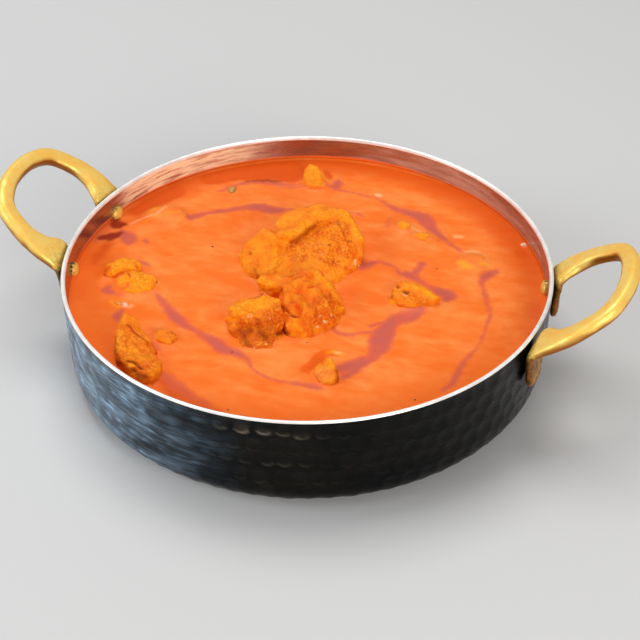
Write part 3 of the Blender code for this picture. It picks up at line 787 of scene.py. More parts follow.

# marks lie in the picture plane, across and up from the aim point
# under each kind of change stand its strokes: half width, amount and path
# glints are small painted highlights, and a patch has a kind, a soft edge's width, an amount and an
# outline
# dark marks are mostly painted shade, in crevices and under ridges, and pale marks are painted
# highlights
meatMarks = {
    "lamb_back": {
        "raise": [
            (1.5, 0.9, [(-12.5, 27.3), (-10.8, 27.4), (-8.5, 28.5), (-6.3, 30.4), (-4.1, 32.0),
                (-1.5, 33.3), (1.8, 34.4)]),
            (0.7, 0.7, [(6.9, 35.1), (8.9, 33.5), (10.4, 30.9), (11.9, 28.0), (13.7, 24.7),
                (15.0, 22.3), (15.2, 20.1)]),
            (0.45, -0.5, [(6.9, 32.6), (8.4, 30.9), (9.5, 28.4), (10.6, 25.4), (11.9, 22.9),
                (12.4, 20.8)]),
            (1.5, 0.4, [(-25.0, 23.8), (-22.4, 25.2), (-19.1, 26.3), (-16.2, 26.7)]),
            (1.2, -0.5, [(-23.3, 19.4), (-21.3, 19.0)]),
            (0.8, -0.6, [(-19.8, 20.8), (-19.3, 18.6), (-18.4, 16.4)]),
            (0.9, 0.5, [(-14.3, 21.6), (-13.6, 19.4), (-14.7, 17.2), (-16.5, 16.1)]),
            (0.8, 0.4, [(-17.3, 14.2), (-14.7, 13.0), (-12.1, 13.1), (-9.9, 14.6)]),
            (0.8, 0.4, [(-9.9, 16.4), (-7.0, 16.1), (-4.1, 16.4), (-1.5, 18.3)]),
            (1.7, 1.0, [(2.0, 31.4), (5.0, 31.6), (7.6, 30.4), (9.4, 28.0)]),
            (2.0, 1.3, [(-17.0, 28.0), (-15.0, 25.0), (-14.2, 22.5)]),
            (0.5, -0.6, [(8.0, 16.1), (9.5, 17.5), (10.8, 19.9)]),
        ],
        "gold": [
            (1.0, 0.9, [(-10.8, 25.4), (-8.5, 27.1), (-6.3, 28.5), (-4.1, 30.7)]),
            (0.9, 0.9, [(-1.9, 32.9), (1.1, 33.3), (4.0, 33.9)]),
            (0.8, 0.9, [(6.9, 35.1), (10.6, 30.7), (11.7, 27.8), (13.3, 24.9)]),
            (0.8, 0.8, [(-26.4, 20.1), (-25.3, 17.9), (-23.5, 16.4)]),
            (1.2, 0.7, [(-14.7, 21.9), (-13.6, 19.4), (-14.3, 17.2)]),
            (1.0, 0.6, [(-17.6, 19.4), (-17.3, 16.4), (-14.7, 14.2)]),
        ],
        "brown": [
            (1.0, 0.9, [(13.0, 19.4), (13.5, 17.9), (12.1, 16.1)]),
        ],
        "dark": [
            (0.9, 0.45, [(-8.9, 24.8), (-6.9, 25.9), (-5.3, 27.4), (-3.8, 28.7), (-1.8, 30.0)]),
            (0.3, 0.7, [(4.2, 18.7), (4.5, 18.5)]),
            (0.35, 0.5, [(2.7, 23.3), (3.4, 23.1)]),
            (0.5, 0.35, [(5.1, 30.0), (6.2, 29.6)]),
            (0.35, 0.5, [(9.3, 24.9), (10.2, 24.6)]),
            (0.35, 0.5, [(-22.4, 21.4), (-22.0, 21.0)]),
            (0.6, 0.35, [(-21.1, 16.4), (-20.2, 14.6), (-19.8, 13.0)]),
            (0.4, 0.6, [(15.4, 19.9), (14.6, 18.3), (12.8, 16.8), (11.9, 15.5)]),
        ],
        "red": [
            (0.4, 0.7, [(-14.7, 11.8), (-12.5, 11.8), (-9.9, 13.4), (-8.1, 14.2), (-5.9, 14.7)]),
            (0.6, 0.4, [(-20.2, 20.1), (-19.8, 17.9)]),
            (0.5, 0.6, [(8.0, 16.8), (9.9, 15.7)]),
        ],
        "pale": [
            (0.28, 0.9, [(11.3, 19.1), (11.4, 17.8)]),
        ],
        "glints": [(14.3, 18.3), (12.7, 17.4)],
        "patches": [
            ("raise", 2.6, 1.1, [(-5.0, 22.0), (-1.0, 27.0), (4.0, 31.0), (9.0, 29.5), (11.0, 24.0),
                (8.0, 19.5), (0.0, 19.5)]),
            ("gold", 2.0, 0.15, [(-9.9, 24.7), (-3.3, 29.5), (2.2, 32.2), (8.2, 30.4), (11.1, 22.3),
                (5.1, 17.2), (-5.5, 18.3), (-11.4, 21.6)]),
            ("brown", 0.9, 1.0, [(-9.9, 24.7), (-7.7, 25.8), (-5.5, 27.4), (-3.3, 29.5),
                (-1.1, 31.3), (2.2, 32.2), (6.2, 32.0), (8.2, 30.4), (9.5, 27.8), (10.6, 24.9),
                (11.1, 22.3), (9.5, 20.1), (7.7, 18.3), (5.1, 17.2), (1.8, 17.5), (-0.4, 18.6),
                (-2.6, 19.4), (-5.5, 18.3), (-8.1, 18.3), (-10.3, 19.4), (-11.4, 21.6),
                (-10.8, 23.8)]),
        ],
    },
    "lamb_front_right": {
        "raise": [
            (0.9, 0.8, [(-20.0, 12.2), (-18.0, 11.5), (-15.4, 10.6), (-12.9, 10.6), (-9.9, 11.1),
                (-7.0, 12.2), (-4.1, 14.1), (-1.1, 15.5)]),
            (0.5, -0.6, [(-18.4, 9.5), (-15.8, 9.5), (-14.3, 8.4), (-12.1, 8.0)]),
            (1.3, 0.9, [(-10.3, 8.0), (-9.6, 5.8), (-8.1, 4.0), (-6.3, 5.8)]),
            (0.4, -0.9, [(-10.8, 2.9), (-9.2, 1.6), (-7.5, 1.5), (-5.7, 3.3), (-5.5, 5.8)]),
            (0.8, 0.6, [(-7.4, 10.2), (-5.5, 11.5), (-3.0, 10.9)]),
            (0.4, -0.5, [(-8.5, 8.9), (-5.5, 8.6), (-2.6, 8.9)]),
            (0.7, 0.6, [(0.3, 14.2), (2.2, 11.7), (2.9, 9.1)]),
            (0.7, 0.6, [(1.1, 5.8), (2.5, 4.0), (4.0, 1.8), (4.2, -0.4)]),
            (0.6, -0.7, [(2.2, 6.9), (3.3, 4.7)]),
            (0.5, -0.7, [(5.1, 4.7), (4.7, 2.5)]),
            (0.5, 0.6, [(6.9, 3.6), (6.6, 1.8)]),
            (0.5, -0.6, [(-0.8, 3.3), (-0.4, 1.1)]),
            (1.2, 0.7, [(-9.9, -2.2), (-7.7, -2.6), (-5.5, -3.3)]),
            (0.8, 0.5, [(-3.3, -2.2), (-2.6, -5.2)]),
            (0.5, -0.6, [(-11.0, -6.5), (-9.2, -7.4), (-6.3, -8.0), (-4.4, -7.7)]),
            (0.5, -0.6, [(-5.2, 1.1), (-4.8, -1.5), (-5.0, -4.1)]),
        ],
        "gold": [
            (1.6, 0.9, [(-20.2, 12.0), (-17.0, 10.8), (-14.0, 10.2)]),
            (0.7, 0.9, [(-7.7, 10.2), (-6.3, 10.6), (-5.5, 9.1)]),
            (0.8, 0.6, [(-0.8, 14.6), (0.3, 12.8), (3.3, 10.9)]),
            (0.5, 0.8, [(1.8, 5.5), (2.9, 3.6), (3.3, 1.8)]),
            (0.8, 0.6, [(-8.5, -1.5), (-6.3, -3.7)]),
            (0.5, 0.8, [(-3.7, -5.9), (-2.6, -7.0)]),
            (0.6, 0.5, [(-5.2, 7.7), (-4.8, 3.3)]),
            (0.5, 0.5, [(6.7, 4.0), (7.1, 3.3)]),
            (1.0, 0.6, [(0.6, 13.6), (2.6, 10.0), (5.4, 5.6), (8.0, 2.6)]),
        ],
        "brown": [
            (0.6, 0.6, [(-11.4, 7.7), (-12.1, 3.3), (-11.9, -1.5)]),
            (0.7, 0.9, [(-11.0, -5.9), (-9.2, -7.4), (-5.2, -7.7)]),
        ],
        "dark": [
            (0.35, 0.35, [(-19.0, 9.6), (-17.0, 9.2), (-15.0, 9.8)]),
            (0.4, 0.5, [(-11.0, -6.3), (-9.2, -7.6), (-4.8, -8.0)]),
            (0.35, 0.6, [(-9.4, 1.6), (-7.0, 1.5)]),
            (0.9, 0.75, [(-11.9, -3.7), (-10.5, -4.3)]),
            (0.5, 0.35, [(3.3, 8.0), (3.6, 5.8)]),
        ],
        "red": [
            (0.5, 0.9, [(-3.7, 9.8), (-2.2, 10.3)]),
            (1.3, 0.3, [(-8.2, 8.9), (-4.6, 8.7)]),
            (0.8, 0.6, [(-2.2, 7.3), (-1.5, 6.2)]),
            (0.6, 0.5, [(-10.7, 8.7), (-9.9, 8.6)]),
            (0.9, 0.5, [(-8.5, 5.1), (-6.3, 2.9)]),
            (0.9, 0.25, [(-5.8, 10.2), (-6.2, 6.0), (-7.4, 1.6)]),
            (0.8, 0.5, [(-12.0, 6.5), (-12.4, 2.0), (-11.6, -2.5)]),
            (0.7, 0.5, [(2.3, 9.1), (2.9, 8.0)]),
        ],
        "soaked": [
            (1.3, 0.9, [(-18.6, 7.6), (-15.5, 7.4), (-12.4, 7.2)]),
        ],
        "pale": [
            (0.35, 0.8, [(-17.4, 8.3), (-16.9, 8.2)]),
            (0.25, 0.9, [(1.0, -0.3), (1.4, -0.7)]),
            (0.22, 0.8, [(-0.8, -2.0), (-0.7, -2.3)]),
        ],
        "glints": [(5.3, 1.2), (1.7, -4.0), (2.9, 1.6), (0.2, 1.5)],
        "patches": [
            ("brown", 1.0, 0.45, [(-5.4, 6.5), (-1.0, 7.5), (-1.2, -2.5), (-2.0, -6.5),
                (-4.6, -5.8)]),
            ("gold", 0.8, 0.7, [(-20.5, 13.0), (-18.0, 13.4), (-15.0, 11.6), (-13.0, 10.0),
                (-14.0, 7.5), (-19.0, 8.5)]),
            ("brown", 0.7, 0.9, [(-0.8, 7.7), (2.2, 8.0), (5.1, 6.9), (8.0, 4.0), (7.7, 1.4),
                (4.7, 0.0), (3.6, -2.2), (0.7, -2.2), (-1.5, -1.5), (-1.9, 1.4), (-0.8, 4.7)]),
        ],
    },
    "lamb_front_left": {
        "raise": [
            (0.9, 0.6, [(-29.4, 0.3), (-27.9, 3.3)]),
            (1.6, -0.9, [(-24.6, -2.6), (-19.8, -3.3), (-16.5, -2.6)]),
            (0.8, 0.7, [(-29.4, -0.4), (-27.2, 1.1), (-24.6, 2.2), (-20.9, 1.4), (-18.0, 2.9),
                (-14.7, 2.9)]),
            (1.5, 1.3, [(-24.6, -7.4), (-20.9, -9.2), (-16.5, -8.1)]),
            (0.7, 0.5, [(-13.6, 5.8), (-12.9, 2.2), (-12.1, -1.9)]),
            (0.4, -0.5, [(-14.7, 3.3), (-14.0, 0.3)]),
            (1.4, 0.9, [(-28.0, -2.6), (-26.0, -5.0), (-24.6, -7.4)]),
            (0.5, 0.5, [(-20.0, -8.5), (-19.6, -8.5)]),
            (0.5, 0.5, [(-17.8, -7.7), (-17.4, -7.7)]),
            (0.5, 0.5, [(-15.4, -5.4), (-15.2, -5.9)]),
        ],
        "gold": [
            (2.6, 0.9, [(-27.5, 2.5), (-25.3, 3.6), (-22.8, 4.2), (-19.8, 5.2), (-17.3, 6.3)]),
            (0.8, 0.8, [(-29.7, 0.0), (-26.4, 0.3)]),
        ],
        "dark": [
            (0.7, 0.4, [(-25.7, -3.3), (-23.1, -6.6), (-21.3, -8.8)]),
            (1.2, 0.5, [(-19.1, -4.1), (-17.3, -5.5)]),
            (0.9, 0.35, [(-23.1, -3.3), (-22.4, -3.5)]),
            (0.8, 0.35, [(-19.8, -0.2), (-19.8, -1.9)]),
            (0.8, 0.75, [(-13.6, -4.4), (-10.3, -3.7)]),
            (0.3, 0.3, [(-22.9, 7.2), (-19.5, 7.5)]),
        ],
        "glints": [(-21.9, 1.2), (-23.0, 1.2), (-15.3, -8.0), (-13.4, -8.4), (-20.4, -8.7),
            (-17.5, -7.6), (-16.0, 0.5)],
        "patches": [
            ("dark", 2.2, 0.13, [(-28.6, -3.0), (-24.0, -1.5), (-15.0, 2.0), (-12.4, -2.6),
                (-15.4, -9.0), (-23.4, -10.8)]),
            ("brown", 1.9, 1.15, [(-29.0, -1.6), (-25.3, 0.0), (-22.4, 1.1), (-19.5, 0.7),
                (-16.5, 3.3), (-13.6, 4.7), (-12.5, 1.8), (-11.9, -2.6), (-14.0, -5.2),
                (-15.4, -8.8), (-19.8, -11.0), (-23.4, -10.6), (-27.4, -6.4), (-29.6, -3.0)]),
        ],
    },
    "lamb_near_rim": {
        "raise": [
            (0.9, 0.5, [(-62.6, 1.3), (-59.7, -0.3), (-57.1, -2.2), (-54.9, -5.1)]),
            (1.0, 0.9, [(-62.6, 1.6), (-62.2, 0.6)]),
            (1.2, -0.7, [(-66.0, -1.5), (-64.8, 1.5)]),
            (0.45, -0.8, [(-61.3, -1.3), (-59.1, -3.5), (-56.8, -5.7), (-54.6, -7.3), (-53.3, -9.6),
                (-51.4, -12.1)]),
            (0.35, -0.35, [(-64.2, -4.8), (-61.3, -8.0), (-58.4, -10.5)]),
            (0.35, -0.35, [(-64.8, -8.0), (-61.9, -10.2), (-59.7, -11.8)]),
            (0.35, -0.4, [(-62.2, -3.2), (-59.1, -7.0), (-55.5, -10.5), (-53.3, -13.4)]),
            (0.5, -0.9, [(-61.6, -12.8), (-59.7, -13.1), (-58.1, -14.0), (-56.8, -15.0)]),
            (1.1, -1.0, [(-59.4, -16.3), (-57.5, -17.2), (-55.5, -18.2)]),
            (0.6, 0.5, [(-60.6, -14.7), (-58.7, -15.3)]),
            (0.6, 0.5, [(-55.2, -15.0), (-54.3, -16.6), (-53.3, -18.2)]),
        ],
        "gold": [
            (0.7, 0.9, [(-62.9, 1.3), (-63.2, 0.0)]),
            (1.0, 0.6, [(-64.5, -3.8), (-64.2, -6.4), (-63.5, -9.6)]),
            (1.3, 0.5, [(-60.6, -9.6), (-59.1, -11.2)]),
            (0.6, 0.7, [(-58.4, -0.6), (-56.5, -3.2)]),
            (0.8, 0.7, [(-61.0, -14.7), (-60.0, -15.0)]),
            (0.6, 0.7, [(-54.3, -16.6), (-53.3, -18.5)]),
        ],
        "dark": [
            (0.4, 0.9, [(-61.6, -12.8), (-59.7, -13.1), (-58.1, -14.0), (-56.8, -15.0)]),
            (1.0, 0.7, [(-59.7, -16.0), (-58.1, -17.2), (-55.9, -18.2)]),
            (1.0, 0.8, [(-66.4, -10.2), (-65.8, -12.8), (-64.5, -14.0)]),
            (0.3, 0.5, [(-61.3, -1.3), (-59.1, -3.5), (-56.8, -5.7), (-54.6, -7.3)]),
        ],
        "red": [
            (0.7, 0.6, [(-53.6, -8.0), (-52.3, -9.6), (-51.7, -12.1)]),
        ],
        "pale": [
            (0.5, 0.6, [(-66.1, -8.0), (-65.8, -8.9)]),
        ],
        "patches": [
            ("brown", 0.7, 0.6, [(-63.8, -1.3), (-61.3, -0.6), (-57.5, -4.8), (-54.3, -8.3),
                (-51.7, -12.1), (-51.7, -16.6), (-54.3, -20.1), (-60.6, -17.6), (-64.5, -14.0),
                (-66.1, -9.6), (-65.1, -4.8)]),
        ],
    },
    "lamb_left": {
        "raise": [
            (0.35, -0.35, [(-68.3, 12.8), (-66.7, 14.4), (-64.8, 15.6), (-62.6, 16.3)]),
            (0.35, -0.3, [(-67.7, 15.0), (-65.1, 17.2), (-62.6, 18.2)]),
            (0.5, -0.3, [(-66.1, 12.8), (-64.5, 14.4), (-62.2, 15.3), (-60.0, 15.3)]),
        ],
        "gold": [
            (0.8, 0.9, [(-68.0, 11.8), (-66.4, 13.4), (-66.4, 15.3)]),
            (1.2, 0.6, [(-64.5, 17.9), (-61.9, 18.5)]),
            (1.8, 0.5, [(-58.1, 11.8), (-53.6, 12.8)]),
            (1.5, 0.4, [(-63.2, 10.2), (-60.6, 9.6)]),
        ],
        "dark": [
            (0.3, 0.6, [(-61.3, 14.7), (-60.6, 13.7)]),
            (0.35, 0.7, [(-52.0, 12.1), (-51.7, 10.9)]),
            (0.4, 0.3, [(-59.1, 17.9), (-58.4, 16.6)]),
        ],
        "red": [
            (0.9, 0.8, [(-70.2, 12.4), (-68.9, 14.7), (-67.4, 16.6)]),
        ],
    },
    "lamb_small": {
        "gold": [
            (0.6, 0.7, [(-51.1, -6.1), (-49.5, -7.0)]),
        ],
        "red": [
            (0.9, 0.4, [(-53.0, -8.0), (-52.0, -8.6)]),
        ],
        "patches": [
            ("brown", 0.5, 0.9, [(-49.2, -4.1), (-46.0, -3.5), (-45.3, -9.6), (-47.6, -7.0)]),
        ],
    },
    "lamb_right": {
        "raise": [
            (0.6, 0.5, [(27.1, 12.1), (30.3, 10.9), (33.5, 9.3), (36.1, 7.3), (38.0, 6.4)]),
            (0.8, 0.6, [(23.3, 8.3), (24.3, 7.3)]),
            (0.5, -0.7, [(21.4, 8.0), (22.3, 7.7)]),
            (0.4, -0.6, [(24.3, 11.2), (24.9, 10.9)]),
            (0.5, -0.7, [(26.8, 9.3), (27.8, 8.9)]),
            (0.8, 0.4, [(21.1, 5.4), (23.0, 4.8)]),
        ],
        "gold": [
            (0.7, 0.9, [(23.0, 8.6), (23.6, 8.3)]),
            (0.9, 0.7, [(21.7, 5.4), (23.6, 5.1)]),
            (0.7, 0.9, [(30.3, 10.5), (33.5, 8.9), (36.4, 7.0)]),
        ],
        "dark": [
            (0.6, 0.7, [(21.4, 8.0), (22.7, 7.7)]),
            (0.4, 0.6, [(24.3, 11.2), (24.9, 10.9)]),
            (0.5, 0.7, [(26.8, 9.3), (28.1, 8.9)]),
        ],
        "red": [
            (0.5, 0.5, [(24.6, 4.8), (26.2, 4.5)]),
        ],
        "pale": [
            (0.35, 0.5, [(26.8, 8.3), (27.5, 8.0)]),
        ],
        "patches": [
            ("brown", 0.8, 0.45, [(25.5, 10.2), (28.7, 9.6), (33.5, 7.7), (36.4, 5.7), (33.5, 4.8),
                (28.7, 5.1), (25.5, 5.7), (24.9, 8.3)]),
        ],
    },
    "lamb_far_tip": {
        "raise": [
            (0.7, 0.5, [(-1.3, 48.5), (-0.3, 46.0), (-0.3, 43.1)]),
            (0.9, -0.7, [(-4.6, 49.0), (-5.0, 47.0), (-5.4, 45.0)]),
            (0.8, -0.6, [(0.9, 48.0), (1.6, 46.0), (2.2, 44.0)]),
        ],
        "gold": [
            (0.8, 0.9, [(-3.5, 48.8), (-2.2, 48.5)]),
            (0.8, 0.8, [(-1.0, 47.9), (-0.3, 45.3), (-0.3, 43.1)]),
        ],
        "brown": [
            (0.6, 0.3, [(-2.9, 45.3), (-2.2, 44.0)]),
        ],
    },
    "lamb_front_flake": {
        "raise": [
            (0.5, 0.6, [(1.3, -11.2), (3.2, -13.1), (4.5, -15.0), (5.1, -17.2)]),
            (0.5, -0.4, [(0.0, -14.4), (2.2, -14.0)]),
        ],
        "gold": [
            (0.6, 1.0, [(1.6, -11.5), (3.2, -13.1), (4.1, -14.7)]),
            (0.8, 0.9, [(3.2, -19.8), (4.5, -20.1)]),
            (0.5, 0.6, [(-0.3, -15.0), (2.6, -14.7)]),
        ],
        "dark": [
            (0.5, 0.5, [(5.1, -16.3), (5.4, -17.9), (5.4, -20.4)]),
        ],
        "red": [
            (0.9, 0.35, [(1.9, -16.9), (3.2, -17.2)]),
            (0.8, 0.8, [(0.0, -11.8), (0.6, -13.1)]),
        ],
        "patches": [
            ("pale", 0.9, 0.06, [(-2.9, -16.6), (1.4, -13.6), (3.9, -16.0), (4.2, -19.2),
                (0.0, -20.4)]),
        ],
    },
}
# depths of lumps, folds and crags, the fibres' turn in degrees and depth, how high gravy covers
# the piece, how golden and how red it is, and how far it's drawn in
meatPlain = dict(fold=0.3, crag=0.2, soak=0.8, ruddy=0.0, sink=0.0)
meatPieces = {
    "lamb_back": dict(lump=0.9, crag=0.3, fibre=(25, 0.12), gilt=0.18),
    "lamb_front_right": dict(lump=1.5, fold=0.8, crag=0.5, fibre=(70, 0.18), gilt=0.08, ruddy=0.16),
    "lamb_front_left": dict(lump=1.3, fold=0.6, crag=0.5, fibre=(100, 0.18), gilt=0.1, ruddy=0.08),
    "lamb_near_rim": dict(lump=0.9, fold=0.5, crag=0.4, fibre=(124, 0.3), gilt=0.2, ruddy=0.08),
    "lamb_left": dict(lump=1.3, fold=0.6, fibre=(150, 0.15), soak=1.6, gilt=0.6),
    "lamb_small": dict(lump=0.7, fibre=(110, 0.1), soak=1.5, gilt=0.1),
    "lamb_right": dict(lump=1.1, fold=0.5, crag=0.35, fibre=(80, 0.15), soak=1.4, gilt=0.1),
    "lamb_far_tip": dict(lump=0.8, fold=0.4, fibre=(60, 0.1), soak=2.8, gilt=0.4),
    "lamb_front_flake": dict(lump=0.6, fold=0.4, crag=0.25, fibre=(60, 0.12), soak=1.5, gilt=0.3),
    "lamb_nub": dict(lump=0.5, fibre=(60, 0.1), soak=1.2, gilt=0.9, sink=0.1),
    "lamb_back_flake": dict(lump=0.5, fibre=(10, 0.1), soak=1.9, gilt=0.5, sink=0.25),
    "lamb_sunk_right": dict(lump=0.3, fibre=(40, 0.1), soak=2.0, gilt=1.0, sink=0.7),
    "lamb_sunk_left": dict(lump=0.3, fibre=(40, 0.1), soak=2.0, gilt=0.5, sink=0.4),
}
meatSize = {
    "voxel": 0.38,
    "soften": 2,  # rounds of smoothing after the remesh
    "lump": 4.2,  # sizes of the lumps, folds, crags and spots of colour
    "fold": 3.0,
    "crag": 1.4,
    "uneven": 3.4,
    "fibreWide": 0.8,
    "fibreLong": 5.0,
    "foldTop": 0.22,
    "cragTop": 0.25,
    "hiddenBrown": 0.6,  # on the sides that the picture doesn't show
    "glint": (0.22, 0.7, 0.2),  # a painted highlight's half width, amount and height
}


def remeshed(node):
    bm = bmesh.new()
    bm.from_mesh(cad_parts[node].data)
    bmesh.ops.remove_doubles(bm, verts=bm.verts, dist=0.01 * mm)
    rough = bpy.data.objects.new("rough", meshFrom(bm, "rough"))
    bpy.context.scene.collection.objects.link(rough)
    modifier = rough.modifiers.new("even", "REMESH")
    modifier.mode = "VOXEL"
    modifier.voxel_size = meatSize["voxel"] * mm
    shown = rough.evaluated_get(bpy.context.evaluated_depsgraph_get())
    evened = bpy.data.meshes.new_from_object(shown)
    bpy.data.objects.remove(rough)
    bm = bmesh.new()
    bm.from_mesh(evened)
    allWays = {"use_axis_x": True, "use_axis_y": True, "use_axis_z": True}
    for _ in range(meatSize["soften"]):
        bmesh.ops.smooth_vert(bm, verts=bm.verts, factor=0.5, **allWays)
    return meshFrom(bm, node)


def markFields(node, seen, facing):
    # how much each kind of mark changes each spot
    kinds = ("raise", "brown", "gold", "dark", "red", "pale", "soaked")
    fields = {kind: np.zeros(len(seen)) for kind in kinds}
    marks = meatMarks.get(node, {})
    wide, amount, tall = meatSize["glint"]
    glints = [(wide, amount, [(x, y), (x, y - tall)]) for x, y in marks.get("glints", [])]
    for kind in kinds:
        for wide, amount, path in marks.get(kind, []) + (glints if kind == "pale" else []):
            line = curved([(*point, 0.0) for point in path], 3)
            fields[kind] += amount * bell(inside(seen, line), 0, wide) * facing
    for kind, soft, amount, outline in marks.get("patches", []):
        fields[kind] += amount * ease(insideOutline(seen, outline), -soft, soft) * facing
    return fields


def fibresOf(spots, degrees):
    # noise drawn out along a piece's grain
    turn = math.radians(degrees)
    across = [[math.cos(turn), -math.sin(turn), 0], [math.sin(turn), math.cos(turn), 0], [0, 0, 1]]
    wide = meatSize["fibreWide"]
    return lumps(spots @ np.array(across), (meatSize["fibreLong"], wide, wide), 4)


def meatMesh(node, look):
    mesh = remeshed(node)
    spots, normals = spotsOf(mesh), normalsOf(mesh)
    seen, facing = sightOf(spots, normals)
    fields = markFields(node, seen, facing)
    degrees, fibreDeep = look["fibre"]
    crags = np.abs(lumps(spots, meatSize["crag"], 5)) - meatSize["cragTop"]
    folds = meatSize["foldTop"] - np.abs(lumps(spots, meatSize["fold"], 24))
    uneven = lumps(spots, meatSize["uneven"], 23)
    fields["brown"] += meatSize["hiddenBrown"] * (1 - facing) * ease(lumps(spots, 9, 14), 0.0, 0.3)
    browned = np.clip(fields["brown"], 0, 1)
    # painted highlight on fold crests, and painted shade in fold valleys
    fields["gold"] += look["gilt"] + 0.5 * uneven + 0.15 * ease(folds, 0.1, meatSize["foldTop"])
    fields["red"] += look["ruddy"] * (1 - 2 * uneven) + 0.12 * ease(-folds, 0.0, 0.25)
    move = fields["raise"] + look["lump"] * lumps(spots, meatSize["lump"], 6)
    move += fibreDeep * fibresOf(spots, degrees) + look["fold"] * folds * (1 - 0.6 * browned)
    move -= look["crag"] * crags * (0.3 + 0.7 * browned) + look["sink"]
    moveTo(mesh, spots + normals * move[:, None])
    height = spots[:, 2] + move * normals[:, 2] - gravyLevel
    soaked = 1 - ease(height + 0.3 * lumps(spots, 2.5, 15), 0.1, look["soak"])
    fields["brown"] = browned
    fields["soaked"] += soaked * 0.9
    # painted shade in the crags, and red under every painted shade
    fields["dark"] = np.clip(fields["dark"] + 0.1 * ease(crags, 0.05, 0.4) * browned, 0, 1)
    fields["red"] += 0.8 * fields["dark"]
    for kind in ("brown", "gold", "dark", "red", "pale", "soaked"):
        paint(mesh, kind, np.clip(fields[kind], 0, 1))
    return mesh


meatTrees = {}
for node, look in meatPieces.items():
    name = node.split("_")[0] + "".join(word.title() for word in node.split("_")[1:])
    piece = makeObject(name, meatMesh(node, {**meatPlain, **look}), meat, "lamb", node)
    bm = bmesh.new()
    bm.from_mesh(piece.data)
    spots = spotsOf(piece.data)
    meatTrees[node] = (BVHTree.FromBMesh(bm), spots.min(0), spots.max(0))
    bm.free()
    print(" ", name, len(piece.data.polygons))

print("stage: gravy")

